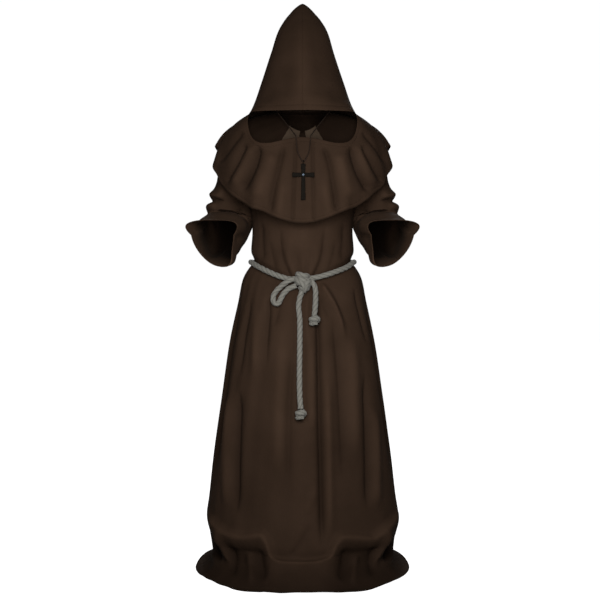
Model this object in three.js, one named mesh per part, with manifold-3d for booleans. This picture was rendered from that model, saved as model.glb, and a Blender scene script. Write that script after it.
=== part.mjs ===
// A monk's costume, hollow, as if a person wore it: a robe with bell sleeves, a hood with a
// shoulder cape, a turned-down collar, a rope belt tied in front and a cross on a neck cord.
//
// Millimetres, +Z up, the front faces -Y and +X is the wearer's left. Heights in the tables are
// above the floor. The last group lowers everything by HOLD_Z, so the origin is between the
// shoulders, where the wearer carries the costume. Every cloth piece is a wall of WALL thickness
// between an outer grid of points and an inner one, and open at its edges.
import * as THREE from 'three';
import { mergeVertices } from 'three/addons/utils/BufferGeometryUtils.js';
import Module from 'manifold-3d';

const wasm = await Module();
wasm.setup();

// Driving dimensions.
const HOLD_Z = 1500;
const WALL = 2;
const SEAM_GAP = 0.3;
const CLEARANCE = 0.8;
const SHOULDER_REST = 4.2;
const BELT_REST = 3.4;
const ROPE_RADIUS = 8;
const NECK_CORD_RADIUS = 1.5;
const ROBE_COLUMNS = 48;
const SLEEVE_COLUMNS = 16;
const CAPE_STEPS = 6;
const DEGREE = Math.PI / 180;

const CLOTH = { color: 0x3b2d23, roughness: 0.85, metalness: 0 };
const ROPE = { color: 0x807f76, roughness: 0.9, metalness: 0 };
const DARK_METAL = { color: 0x1a1714, roughness: 0.5, metalness: 0.6 };
const CORD = { color: 0x17130f, roughness: 0.8, metalness: 0 };

/** Rows of numbers as objects, with the column names of the header. */
function table(header, rows) {
  const names = header.split(' ');
  return rows.map((row) => Object.fromEntries(names.map((name, i) => [name, row[i]])));
}

// The robe from the neckline down: the height of each row at the sides, the front and the back,
// its half width, its depth to the front and the back, how square the back is (2 is an ellipse),
// and the steps to the next row.
const ROBE_ROWS = table('zSide zFront zBack half front back square steps', [
  [1562, 1478, 1568, 88, 100, 84, 2, 1],
  [1556, 1450, 1560, 130, 112, 98, 2, 1],
  [1549, 1436, 1552, 170, 122, 112, 2, 1],
  [1536, 1418, 1538, 206, 132, 124, 2, 1],
  [1508, 1395, 1508, 241, 140, 132, 2, 1],
  [1470, 1365, 1470, 252, 146, 138, 2, 1],
  [1410, 1330, 1410, 246, 149, 139, 2, 1],
  [1350, 1300, 1350, 228, 150, 140, 2, 1],
  [1280, 1265, 1280, 202, 150, 138, 2, 1],
  [1210, 1200, 1210, 178, 146, 134, 2, 1],
  [1150, 1130, 1150, 173, 140, 130, 2, 1],
  [1085, 1020, 1088, 177, 136, 126, 2, 1],
  [1062, 990, 1066, 170, 127, 118, 2, 1],
  [1045, 972, 1050, 166, 122, 114, 2, 1],
  [1026, 952, 1032, 183, 130, 123, 2, 1],
  [985, 905, 990, 204, 158, 152, 2, 1],
  [914, 850, 914, 219, 178, 176, 2, 1],
  [776, 740, 776, 249, 205, 208, 2, 2],
  [569, 569, 569, 279, 232, 240, 2, 2],
  [396, 388, 396, 303, 250, 266, 2, 2],
  [250, 215, 250, 320, 260, 285, 2.1, 1],
  [172, 118, 172, 330, 272, 300, 2.2, 1],
  [110, 80, 110, 318, 272, 298, 2.4, 1],
  [58, 46, 60, 314, 296, 312, 2.8, 1],
  [16, 16, 16, 334, 350, 352, 3.2, 1],
  [2, 2, 2, 352, 382, 396, 3.5, 1],
  [2, 2, 2, 366, 400, 420, 3.5, 0],
]);
const BELT_ROW = 13;
const SHOULDER_ROWS = 6;

// The robe's long folds: where each starts and ends, as an angle from the front and a height,
// with its width and how far it stands out (below 0 it is a furrow).
const ROBE_FOLDS = table('topAngle top bottomAngle bottom width out', [
  [12.5, 915, 14, 112, 26, -13],
  [19, 915, 20, 120, 26, 8],
  [45, 815, 47, 265, 30, -13],
  [57, 815, 58, 255, 32, 8],
  [-49, 600, -51, 240, 30, -12],
  [-58, 600, -59, 235, 32, 8],
  [-8, 925, -10, 330, 24, -9],
  [-28, 930, -27, 500, 30, 6],
  [-76, 950, -72, 300, 34, -10],
  [80, 950, 78, 300, 34, -10],
  [-150, 930, -153, 150, 34, -14],
  [-127, 900, -126, 200, 36, 9],
  [-178, 930, -182, 140, 32, -12],
  [150, 930, 152, 160, 34, -14],
  [124, 900, 122, 200, 36, 9],
  [-165, 900, -166, 200, 34, 7],
  [163, 900, 164, 200, 34, 7],
]);

// One sleeve, on the +X side, from inside the shoulder to the open mouth: its centre, its reach
// outward and inward, its reach to the front (the top of the forearm) and to the back (the
// underside), how much wider and squarer the top gets, how much narrower the underside gets, and
// how far the underside leans toward the body.
const SLEEVE_ROWS = table('x y z outer inner top under flare taper lean', [
  [170, 5, 1440, 78, 70, 75, 75, 0, 0, 0],
  [205, 8, 1395, 70, 66, 75, 74, 0, 0, 0],
  [235, 15, 1330, 61, 60, 72, 74, 0, 0, 0],
  [256, 42, 1265, 62, 62, 68, 76, 0, 0, 0],
  [268, 52, 1205, 68, 98, 64, 78, 0, 0, 0],
  [274, 15, 1158, 66, 91, 66, 80, 0.1, 0, 0],
  [276, -70, 1138, 66, 84, 76, 80, 0.25, 0.05, 2],
  [276, -130, 1130, 64, 80, 72, 80, 0.42, 0.1, 3],
  [276, -190, 1126, 71, 66, 56, 85, 0.55, 0.15, 5],
  [275, -232, 1125, 87, 52, 49, 101, 0.65, 0.2, 6],
]);
const SLEEVE_STEPS = 14;

// One wing of the collar: the angles from the front of its inner and outer edges, how much its
// outer edge draws in toward the point, the last robe row that it reaches, and how far its point
// stands off the chest.
const WING = { inner: 2.5, outer: 30, drawIn: 10, reach: 2.7, pointLift: 5, rows: 4, columns: 6 };
const WING_LEAN = { deeper: 1.2, up: 60 };

// The neck ring that the cape hangs from, the point that pulls each line of the cape outward,
// and the cape's hem, from the front to the back of the +X side.
const CAPE_STATIONS = table('ringX ringY ringZ pullX pullY pullZ hemX hemY hemZ', [
  [0, -205, 1447, 0, -226, 1306, 0, -215, 1165],
  [62, -203, 1441, 64, -224, 1310, 64, -213, 1176],
  [115, -196, 1437, 130, -218, 1322, 136, -200, 1206],
  [152, -180, 1440, 178, -195, 1332, 180, -165, 1224],
  [174, -155, 1465, 222, -167, 1373, 229, -130, 1260],
  [184, -128, 1508, 264, -134, 1426, 272, -75, 1300],
  [182, -95, 1538, 274, -84, 1471, 290, -50, 1340],
  [178, -40, 1550, 280, -34, 1505, 309, -20, 1376],
  [172, 20, 1553, 241, 22, 1535, 288, 25, 1424],
  [165, 55, 1552, 275, 60, 1530, 309, 65, 1452],
  [150, 85, 1550, 253, 124, 1522, 272, 115, 1385],
  [112, 130, 1545, 229, 196, 1487, 250, 165, 1300],
  [60, 152, 1540, 120, 234, 1422, 140, 212, 1215],
  [0, 160, 1538, 0, 248, 1406, 0, 232, 1190],
]);
const SHOULDER_SEAM = 8;
const HOOD_CORNER = 6;

// The hood's lower front edge, the brim over the face, at the first stations.
const BRIM = table('x y z', [
  [0, -212, 1536],
  [48, -208, 1536],
  [95, -196, 1537],
  [130, -178, 1539],
  [155, -155, 1541],
  [172, -128, 1543],
]);
const STATION_ANGLES = [0, 15, 30, 42, 52, 62, 72, 85, 100, 112, 125, 145, 162, 180];

// The hood from the tip down: height, half width, middle and depth to the front and the back.
const HOOD_ROWS = table('z half middle front back', [
  [1909, 45, 40, 42, 40],
  [1870, 70, 32, 66, 62],
  [1830, 90, 22, 85, 84],
  [1771, 103, 8, 108, 116],
  [1711, 122, -5, 130, 140],
  [1652, 143, -12, 155, 155],
  [1593, 162, -20, 176, 172],
]);
const HOOD_TIP = new THREE.Vector3(0, 45, 1948);
const HOOD_TIP_DEPTH = 6;

// The free routes of the rope and the neck cord, point by point.
const LOOP_ROUTE = [
  [-24, -149, 985], [-40, -147.5, 981], [-54, -145, 973], [-73, -136, 958], [-90, -143, 941],
  [-98, -153, 924], [-95, -159, 908], [-85, -164, 901], [-74, -163, 906], [-65, -156, 921],
  [-54, -148, 938], [-41, -143, 952], [-20, -147, 962],
];
const LONG_TAIL_ROUTE = [
  [0, -151, 950], [-6, -153, 930], [-10, -159, 915], [-13, -169.5, 890], [-9, -184, 848],
  [-9, -206.5, 760], [-10, -224, 669], [-9, -235.5, 600], [-7, -243, 580], [-6, -251, 560],
];
const SHORT_TAIL_ROUTE = [
  [22, -147, 980], [36, -147.5, 968], [43, -148, 948], [43.5, -155, 925], [43, -163.5, 905],
  [41, -175, 880], [39, -189, 858],
];
const NECK_CORD_ROUTE = [
  [2.5, -222.3, 1365.4], [-7, -220.5, 1378], [-15, -216, 1396], [-19, -212.6, 1420],
  [-21, -209.6, 1441], [-22, -206, 1452.2], [-24, -193, 1456], [-36, -150, 1478],
  [-62, -112, 1516], [-88, -70, 1554], [-97, -20, 1572], [-92, 30, 1578], [-62, 72, 1580],
  [-3, 89, 1580],
];

// The knot, the end knots and the cross.
const KNOT_LUMPS = table('x y z width depth height', [
  [-12, -148, 989, 32, 42, 40],
  [13, -147, 987, 32, 40, 40],
  [1, -149, 969, 52, 44, 38],
  [6, -151, 953, 30, 36, 30],
]);
const END_KNOT_PROFILE = [
  [0, 22], [9, 22], [15, 17], [20, 8], [20, -4], [16, -11], [11, -15], [14, -24], [0, -24],
];
const LONG_END_KNOT = [-6, -253.6, 544];
const SHORT_END_KNOT = [39, -195.6, 847];
const CROSS_HEIGHT = 118;
const CROSS_SPAN = 72;
const CROSS_BAR = 12;
const CROSS_THICKNESS = 6;
const CROSS_TOP_Z = 1358;
const CROSS_BACK_Y = -219.3;
const CROSS_X = 2.5;
const CROSS_ARM_DROP = 36;
const BELT_START = 14;
const BELT_POINTS = 40;
const STUD_RADIUS = 4;
const STUD_DEPTH = 2;
const RING_RADIUS = 5;
const RING_WIRE = 1.1;

/** The smooth value between b and c, with a and d as their outer neighbours. */
function smooth(a, b, c, d, t) {
  const slopeB = (c - a) / 2;
  const slopeC = (d - b) / 2;
  const rise = t * t * (3 - 2 * t);
  const leave = t * (1 - t) * (1 - t);
  const arrive = t * t * (t - 1);
  return b + (c - b) * rise + slopeB * leave + slopeC * arrive;
}

/** The row at a fractional place in a table, every column blended smoothly. */
function rowAt(rows, place) {
  const last = rows.length - 1;
  const i = Math.min(Math.floor(place), last - 1);
  const near = [i - 1, i, i + 1, i + 2].map((n) => rows[THREE.MathUtils.clamp(n, 0, last)]);
  const entries = Object.keys(rows[0]).map((name) => {
    return [name, smooth(...near.map((row) => row[name]), place - i)];
  });
  return Object.fromEntries(entries);
}

/** A power that keeps the sign, for outlines squarer than an ellipse. */
function signedPower(value, power) {
  return Math.sign(value) * Math.abs(value) ** power;
}

/** How far the robe's folds push its cloth outward at an angle and a height. */
function foldOut(angle, z, radius) {
  let out = 0;
  for (const fold of ROBE_FOLDS) {
    const along = (fold.top - z) / (fold.top - fold.bottom);
    const fade = THREE.MathUtils.smoothstep(along, -0.12, 0.12)
      * (1 - THREE.MathUtils.smoothstep(along, 0.85, 1.15));
    const middle = THREE.MathUtils.lerp(fold.topAngle, fold.bottomAngle, along);
    const turn = THREE.MathUtils.euclideanModulo(angle - middle + 180, 360) - 180;
    const across = turn * DEGREE * radius;
    out += fold.out * fade * Math.exp(-((across / fold.width) ** 2));
  }
  return out;
}

/** A point of the robe's outer surface: degrees from the front, and a place in its rows. */
function robePoint(angle, place) {
  const row = rowAt(ROBE_ROWS, place);
  const ahead = Math.cos(angle * DEGREE);
  const aside = Math.sin(angle * DEGREE);
  const power = 2 / (ahead > 0 ? 2 : row.square);
  const depth = ahead > 0 ? row.front : row.back;
  const edge = ahead > 0 ? row.zFront : row.zBack;
  const point = new THREE.Vector3(
    row.half * signedPower(aside, power),
    -depth * signedPower(ahead, power),
    THREE.MathUtils.lerp(row.zSide, edge, ahead * ahead),
  );
  const outward = new THREE.Vector3(aside / row.half, -ahead / depth, 0).normalize();
  return point.addScaledVector(outward, foldOut(angle, point.z, (row.half + depth) / 2));
}

/** The places of the robe's rows, with the steps between them. */
function robePlaces() {
  const places = ROBE_ROWS.flatMap((row, i) => {
    return Array.from({ length: row.steps }, (_, step) => i + step / row.steps);
  });
  return [...places, ROBE_ROWS.length - 1];
}

/** A point of the +X sleeve: degrees from its outer side, and a place in its rows. */
function sleevePoint(angle, place) {
  const row = rowAt(SLEEVE_ROWS, place);
  const step = 0.02;
  const ends = [Math.max(place - step, 0), Math.min(place + step, SLEEVE_ROWS.length - 1)];
  const [before, after] = ends.map((end) => {
    const near = rowAt(SLEEVE_ROWS, end);
    return new THREE.Vector3(near.x, near.y, near.z);
  });
  const along = after.sub(before).normalize();
  const aside = new THREE.Vector3(1, 0, 0);
  aside.addScaledVector(along, -along.x).normalize();
  const under = new THREE.Vector3().crossVectors(aside, along);
  const c = Math.cos(angle * DEGREE);
  const s = Math.sin(angle * DEGREE);
  const width = c > 0 ? row.outer : row.inner;
  const onTop = s < 0;
  const reach = onTop
    ? width * signedPower(c, 1 / (1 + row.flare)) * (1 - row.flare * s)
    : width * c * (1 - row.taper * s) - row.lean * s;
  return new THREE.Vector3(row.x, row.y, row.z)
    .addScaledVector(aside, reach)
    .addScaledVector(under, (s > 0 ? row.under : row.top) * s);
}

/** Stations of one side as a closed ring of columns, from the front round by +X. */
function ringColumns(count, pointOf) {
  const last = count - 1;
  return Array.from({ length: 2 * last }, (_, column) => {
    const mirrored = column > last;
    const point = pointOf(mirrored ? 2 * last - column : column);
    return mirrored ? point.multiply(new THREE.Vector3(-1, 1, 1)) : point;
  });
}

/** The cape's grid: lines that leave the neck ring, bend over the shoulder and end at the hem. */
function capeGrid() {
  return Array.from({ length: CAPE_STEPS + 1 }, (_, step) => {
    return ringColumns(CAPE_STATIONS.length, (i) => {
      const s = CAPE_STATIONS[i];
      const line = new THREE.QuadraticBezierCurve3(
        new THREE.Vector3(s.ringX, s.ringY, s.ringZ),
        new THREE.Vector3(s.pullX, s.pullY, s.pullZ),
        new THREE.Vector3(s.hemX, s.hemY, s.hemZ),
      );
      return line.getPoint(step / CAPE_STEPS);
    });
  });
}

/** The hood's grid: the tip, the rows and the lower edge, brim in front and neck ring behind. */
function hoodGrid() {
  const rows = HOOD_ROWS.length - 1;
  const body = Array.from({ length: 2 * rows + 1 }, (_, step) => {
    const row = rowAt(HOOD_ROWS, step / 2);
    return ringColumns(STATION_ANGLES.length, (i) => {
      const ahead = Math.cos(STATION_ANGLES[i] * DEGREE);
      const aside = Math.sin(STATION_ANGLES[i] * DEGREE);
      const depth = ahead > 0 ? row.front : row.back;
      return new THREE.Vector3(row.half * aside, row.middle - depth * ahead, row.z);
    });
  });
  const edge = ringColumns(CAPE_STATIONS.length, (i) => {
    const s = CAPE_STATIONS[i];
    const onBrim = i < HOOD_CORNER;
    return onBrim
      ? new THREE.Vector3(BRIM[i].x, BRIM[i].y, BRIM[i].z)
      : new THREE.Vector3(s.ringX, s.ringY, s.ringZ + 0.5);
  });
  return [edge.map(() => HOOD_TIP.clone()), ...body, edge];
}

/** Normals of a grid whose columns run round a closed ring. */
function ringNormals(grid) {
  const count = grid[0].length;
  const lastRow = grid.length - 1;
  return grid.map((row, j) => row.map((_, k) => {
    const down = grid[Math.min(j + 1, lastRow)][k].clone().sub(grid[Math.max(j - 1, 0)][k]);
    const round = row[(k + 1) % count].clone().sub(row[(k + count - 1) % count]);
    return down.cross(round).normalize();
  }));
}

/** The inner skin of a grid, one wall deep and never below the floor. */
function innerOf(grid, normals) {
  return grid.map((row, j) => row.map((point, k) => {
    const inner = point.clone().addScaledVector(normals[j][k], -WALL);
    inner.z = Math.max(inner.z, 0);
    return inner;
  }));
}

/** Columns from..to of a ring grid, its two end columns pulled back by half a seam gap. */
function panelOf(grid, from, to) {
  const count = grid[0].length;
  const pick = (row, k) => row[THREE.MathUtils.euclideanModulo(k, count)];
  return grid.map((row) => {
    const cells = Array.from({ length: to - from + 1 }, (_, i) => pick(row, from + i).clone());
    const pull = (cell, next) => {
      const way = next.clone().sub(cell);
      return way.length() > 0 ? cell.addScaledVector(way.normalize(), SEAM_GAP / 2) : cell;
    };
    pull(cells[0], cells[1].clone());
    pull(cells[cells.length - 1], cells[cells.length - 2].clone());
    return cells;
  });
}

/** Triangles gathered into one geometry, those with no area left out. */
class Facets {
  positions = [];

  triangle(a, b, c) {
    const flat = a.equals(b) || b.equals(c) || c.equals(a);
    if (!flat) {
      this.positions.push(...a, ...b, ...c);
    }
  }

  quad(a, b, c, d) {
    this.triangle(a, b, c);
    this.triangle(a, c, d);
  }

  geometry() {
    const geometry = new THREE.BufferGeometry();
    geometry.setAttribute('position', new THREE.Float32BufferAttribute(this.positions, 3));
    return mergeVertices(geometry, 1e-4);
  }
}

/** The closed wall between an outer and an inner grid: a panel, or a ring where it is closed. */
function wallBetween(outer, inner, closed) {
  const facets = new Facets();
  const columns = outer[0].length;
  const last = outer.length - 1;
  for (let k = 0; k < (closed ? columns : columns - 1); k += 1) {
    const next = (k + 1) % columns;
    for (let j = 0; j < last; j += 1) {
      facets.quad(outer[j][k], outer[j + 1][k], outer[j + 1][next], outer[j][next]);
      facets.quad(inner[j][k], inner[j][next], inner[j + 1][next], inner[j + 1][k]);
    }
    facets.quad(outer[0][k], outer[0][next], inner[0][next], inner[0][k]);
    facets.quad(inner[last][k], inner[last][next], outer[last][next], outer[last][k]);
  }
  if (!closed) {
    const end = columns - 1;
    for (let j = 0; j < last; j += 1) {
      facets.quad(outer[j][0], inner[j][0], inner[j + 1][0], outer[j + 1][0]);
      facets.quad(outer[j][end], outer[j + 1][end], inner[j + 1][end], inner[j][end]);
    }
  }
  return facets.geometry();
}

/** The solid inside a closed ring grid, with a lid at each end. */
function filled(grid) {
  const facets = new Facets();
  const columns = grid[0].length;
  const last = grid.length - 1;
  const middleOf = (row) => {
    const sum = row.reduce((total, point) => total.add(point), new THREE.Vector3());
    return sum.divideScalar(columns);
  };
  const top = middleOf(grid[0]);
  const bottom = middleOf(grid[last]);
  for (let k = 0; k < columns; k += 1) {
    const next = (k + 1) % columns;
    for (let j = 0; j < last; j += 1) {
      facets.quad(grid[j][k], grid[j + 1][k], grid[j + 1][next], grid[j][next]);
    }
    facets.triangle(top, grid[0][k], grid[0][next]);
    facets.triangle(bottom, grid[last][next], grid[last][k]);
  }
  return facets.geometry();
}

/** A three.js geometry as a solid that can be cut and joined. */
function solidOf(geometry) {
  const bare = geometry.clone();
  bare.deleteAttribute('normal');
  bare.deleteAttribute('uv');
  const merged = mergeVertices(bare, 1e-4);
  return new wasm.Manifold(new wasm.Mesh({
    numProp: 3,
    vertProperties: new Float32Array(merged.attributes.position.array),
    triVerts: new Uint32Array(merged.index.array),
  }));
}

/** A solid back as a three.js geometry. */
function geometryOf(solid) {
  const mesh = solid.getMesh();
  const geometry = new THREE.BufferGeometry();
  geometry.setAttribute('position', new THREE.BufferAttribute(mesh.vertProperties, 3));
  geometry.setIndex(new THREE.BufferAttribute(mesh.triVerts, 1));
  return geometry;
}

/** The largest single body of a solid, without the crumbs that a cut can leave. */
function largestOf(solid) {
  return solid.decompose().reduce((a, b) => (a.volume() > b.volume() ? a : b));
}

/** The height of a grid's surface above a point of the ground, or infinity beside it. */
function heightOver(grid, x, y) {
  const columns = grid[0].length;
  const target = new THREE.Vector3(x, y, 0);
  const flat = (point) => new THREE.Vector3(point.x, point.y, 0);
  let height = Infinity;
  for (let j = 0; j < grid.length - 1; j += 1) {
    for (let k = 0; k < columns; k += 1) {
      const next = (k + 1) % columns;
      const [a, b] = [grid[j][k], grid[j + 1][next]];
      for (const c of [grid[j + 1][k], grid[j][next]]) {
        const share = new THREE.Vector3();
        THREE.Triangle.getBarycoord(target, flat(a), flat(b), flat(c), share);
        if (Math.min(share.x, share.y, share.z) >= 0) {
          height = Math.min(height, share.x * a.z + share.y * b.z + share.z * c.z);
        }
      }
    }
  }
  return height;
}

/** The robe's outer grid, its shoulders kept just under the inside of the cape. */
function robeGrid(cape) {
  const turn = 360 / ROBE_COLUMNS;
  return robePlaces().map((place) => {
    return Array.from({ length: ROBE_COLUMNS }, (_, k) => {
      const point = robePoint(k * turn, place);
      if (place <= SHOULDER_ROWS) {
        point.z = Math.min(point.z, heightOver(cape, point.x, point.y) - SHOULDER_REST);
      }
      return point;
    });
  });
}

/** The sleeve's grid on one side; the -X side mirrors the +X side. */
function sleeveGrid(side) {
  const turn = 360 / SLEEVE_COLUMNS;
  return Array.from({ length: SLEEVE_STEPS + 1 }, (_, step) => {
    const place = step * (SLEEVE_ROWS.length - 1) / SLEEVE_STEPS;
    return Array.from({ length: SLEEVE_COLUMNS }, (__, k) => {
      return sleevePoint(side * k * turn, place).multiply(new THREE.Vector3(side, 1, 1));
    });
  });
}

/** A round bar along a route of points. */
function tube(route, radius, sides, steps) {
  const section = new THREE.Shape();
  for (let i = 0; i < sides; i += 1) {
    const angle = 2 * Math.PI * i / sides;
    const corner = [radius * Math.cos(angle), radius * Math.sin(angle)];
    if (i === 0) {
      section.moveTo(...corner);
    } else {
      section.lineTo(...corner);
    }
  }
  const path = new THREE.CatmullRomCurve3(route.map((point) => new THREE.Vector3(...point)));
  return new THREE.ExtrudeGeometry(section, { steps, extrudePath: path, bevelEnabled: false });
}

/** The rope round the waist, from one side of the knot to the other. */
function beltRoute() {
  return Array.from({ length: BELT_POINTS + 1 }, (_, i) => {
    const angle = BELT_START + i * (360 - 2 * BELT_START) / BELT_POINTS;
    const point = robePoint(angle, BELT_ROW);
    const row = ROBE_ROWS[BELT_ROW];
    const ahead = Math.cos(angle * DEGREE);
    const depth = ahead > 0 ? row.front : row.back;
    const outward = new THREE.Vector3(Math.sin(angle * DEGREE) / row.half, -ahead / depth, 0);
    point.addScaledVector(outward.normalize(), ROPE_RADIUS + BELT_REST);
    return point.toArray();
  });
}

/** One wing of the turned-down collar, lying on the robe's chest beside the middle. */
function collarWing(side) {
  const grids = [WALL + CLEARANCE, CLEARANCE].map((lift) => {
    return Array.from({ length: WING.rows + 1 }, (_, j) => {
      const down = j / WING.rows;
      return Array.from({ length: WING.columns + 1 }, (__, k) => {
        const outerAngle = WING.outer - WING.drawIn * down;
        const angle = THREE.MathUtils.lerp(WING.inner, outerAngle, k / WING.columns);
        const point = robePoint(angle, WING.reach * down);
        const out = new THREE.Vector3(point.x, WING_LEAN.deeper * point.y, WING_LEAN.up);
        point.addScaledVector(out.normalize(), lift + WING.pointLift * down);
        return point.multiply(new THREE.Vector3(side, 1, 1));
      });
    });
  });
  const [outer, inner] = side > 0 ? grids : grids.map((grid) => grid.map((row) => row.reverse()));
  return wallBetween(outer, inner, false);
}

/** The knot in front, four lumps of rope pulled tight into one body, grown by some distance. */
function knotSolid(grow) {
  const lumps = KNOT_LUMPS.map((lump) => {
    const ball = new THREE.SphereGeometry(0.5, 12, 9);
    ball.scale(lump.width + 2 * grow, lump.depth + 2 * grow, lump.height + 2 * grow);
    ball.translate(lump.x, lump.y, lump.z);
    return solidOf(ball);
  });
  return lumps.reduce((whole, lump) => whole.add(lump));
}

/** An end knot with its short tuft, turned about its own upright axis, grown by some distance. */
function endKnot(place, grow) {
  const profile = END_KNOT_PROFILE.map(([radius, z]) => {
    return new THREE.Vector2(radius > 0 ? radius + grow : 0, z + Math.sign(z) * grow);
  });
  const knot = new THREE.LatheGeometry(profile.reverse(), 12);
  knot.rotateX(Math.PI / 2);
  knot.translate(...place);
  return knot;
}

/** The cross: an upright and a bar, joined where they meet. */
function crossSolid() {
  const upright = new THREE.BoxGeometry(CROSS_BAR, CROSS_THICKNESS, CROSS_HEIGHT);
  const y = CROSS_BACK_Y - CROSS_THICKNESS / 2;
  upright.translate(CROSS_X, y, CROSS_TOP_Z - CROSS_HEIGHT / 2);
  const bar = new THREE.BoxGeometry(CROSS_SPAN, CROSS_THICKNESS, CROSS_BAR);
  bar.translate(CROSS_X, y, CROSS_TOP_Z - CROSS_ARM_DROP);
  return solidOf(upright).add(solidOf(bar));
}

/** The small stud on the crossing. */
function crossStud() {
  const stud = new THREE.CylinderGeometry(STUD_RADIUS, STUD_RADIUS * 0.7, STUD_DEPTH, 16);
  const y = CROSS_BACK_Y - CROSS_THICKNESS - STUD_DEPTH / 2 - SEAM_GAP;
  stud.translate(CROSS_X, y, CROSS_TOP_Z - CROSS_ARM_DROP);
  return stud;
}

/** The ring that joins the cross to its cord, seen edge-on from the front. */
function crossRing() {
  const ring = new THREE.TorusGeometry(RING_RADIUS, RING_WIRE, 6, 16);
  ring.rotateY(Math.PI / 2);
  const z = CROSS_TOP_Z + SEAM_GAP + RING_RADIUS + RING_WIRE;
  ring.translate(CROSS_X, CROSS_BACK_Y - CROSS_THICKNESS / 2, z);
  return ring;
}

const costume = new THREE.Group();
costume.position.z = -HOLD_Z;

/** Adds one named piece to the costume. */
function addPiece(name, geometry, look) {
  const piece = new THREE.Mesh(geometry, new THREE.MeshStandardMaterial(look));
  piece.name = name;
  costume.add(piece);
}

const cape = capeGrid();
const robe = robeGrid(cape);
const robeNormals = ringNormals(robe);
const robeInner = innerOf(robe, robeNormals);
const grown = robe.map((row, j) => row.map((point, k) => {
  return point.clone().addScaledVector(robeNormals[j][k], SEAM_GAP);
}));
const body = solidOf(filled(grown));

const sleeves = [['sleeve_right', -1], ['sleeve_left', 1]].map(([name, side]) => {
  const outer = sleeveGrid(side);
  const inner = innerOf(outer, ringNormals(outer));
  const wall = solidOf(wallBetween(outer, inner, true));
  addPiece(name, geometryOf(largestOf(wall.subtract(body))), CLOTH);
  return solidOf(filled(inner));
});

const quarter = ROBE_COLUMNS / 4;
for (const [name, from] of [['robe_front', -quarter], ['robe_back', quarter]]) {
  const to = from + 2 * quarter;
  const wall = solidOf(wallBetween(panelOf(robe, from, to), panelOf(robeInner, from, to), false));
  const cut = sleeves.reduce((rest, lumen) => rest.subtract(lumen), wall);
  addPiece(name, geometryOf(largestOf(cut)), CLOTH);
}

const capeInner = innerOf(cape, ringNormals(cape));
const capePanels = [
  ['cape_front', -SHOULDER_SEAM, SHOULDER_SEAM],
  ['cape_back', SHOULDER_SEAM, cape[0].length - SHOULDER_SEAM],
];
for (const [name, from, to] of capePanels) {
  addPiece(name, wallBetween(panelOf(cape, from, to), panelOf(capeInner, from, to), false), CLOTH);
}

const hood = hoodGrid();
const hoodInner = innerOf(hood, ringNormals(hood));
hoodInner[0].forEach((point) => point.copy(HOOD_TIP).setZ(HOOD_TIP.z - HOOD_TIP_DEPTH));
const half = hood[0].length / 2;
for (const [name, from] of [['hood_left', 0], ['hood_right', half]]) {
  const to = from + half;
  const tipShift = (name === 'hood_left' ? 1 : -1) * SEAM_GAP / 2;
  const skins = [hood, hoodInner].map((grid) => {
    const panel = panelOf(grid, from, to);
    panel[0].forEach((point) => point.setX(tipShift));
    return panel;
  });
  addPiece(name, wallBetween(...skins, false), CLOTH);
}

addPiece('collar_left', collarWing(1), CLOTH);
addPiece('collar_right', collarWing(-1), CLOTH);

// The ropes start inside the knots and are trimmed back to just clear of them.
const ropes = {
  belt_wrap: tube(beltRoute(), ROPE_RADIUS, 10, 40),
  belt_loop: tube(LOOP_ROUTE, ROPE_RADIUS, 10, 22),
  belt_tail_long: tube(LONG_TAIL_ROUTE, ROPE_RADIUS, 10, 18),
  belt_tail_short: tube(SHORT_TAIL_ROUTE, ROPE_RADIUS, 10, 8),
};
const trims = [
  knotSolid(SEAM_GAP),
  solidOf(endKnot(LONG_END_KNOT, SEAM_GAP)),
  solidOf(endKnot(SHORT_END_KNOT, SEAM_GAP)),
];
addPiece('belt_knot', geometryOf(largestOf(knotSolid(0).subtract(body))), ROPE);
for (const [name, geometry] of Object.entries(ropes)) {
  const free = trims.reduce((rope, trim) => rope.subtract(trim), solidOf(geometry));
  addPiece(name, geometryOf(largestOf(free)), ROPE);
}
addPiece('end_knot_long', endKnot(LONG_END_KNOT, 0), ROPE);
addPiece('end_knot_short', endKnot(SHORT_END_KNOT, 0), ROPE);

addPiece('cross', geometryOf(crossSolid()), DARK_METAL);
addPiece('cross_stud', crossStud(), DARK_METAL);
addPiece('cross_ring', crossRing(), DARK_METAL);
const cordBack = NECK_CORD_ROUTE.slice(1).map(([x, y, z]) => [2 * CROSS_X - x, y, z]).reverse();
addPiece('neck_cord', tube([...cordBack, ...NECK_CORD_ROUTE], NECK_CORD_RADIUS, 8, 48), CORD);

export default costume;
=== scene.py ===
"""A hollow monk's costume, dressed for a studio picture.

Each garment is a class that holds its sizes and builds its cloth as a thin wall on the same rows
as its solid, with the creases that the worn costume shows pressed into it. Lengths are in
millimetres where nothing else is said, and heights are above the floor; meshes are in metres,
lowered by HOLD_Z to the shared frame. -Y is the front and +X the wearer's left.
"""
from __future__ import annotations

import logging
import math
from dataclasses import dataclass, field, replace
from enum import Enum
from typing import Sequence

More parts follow.
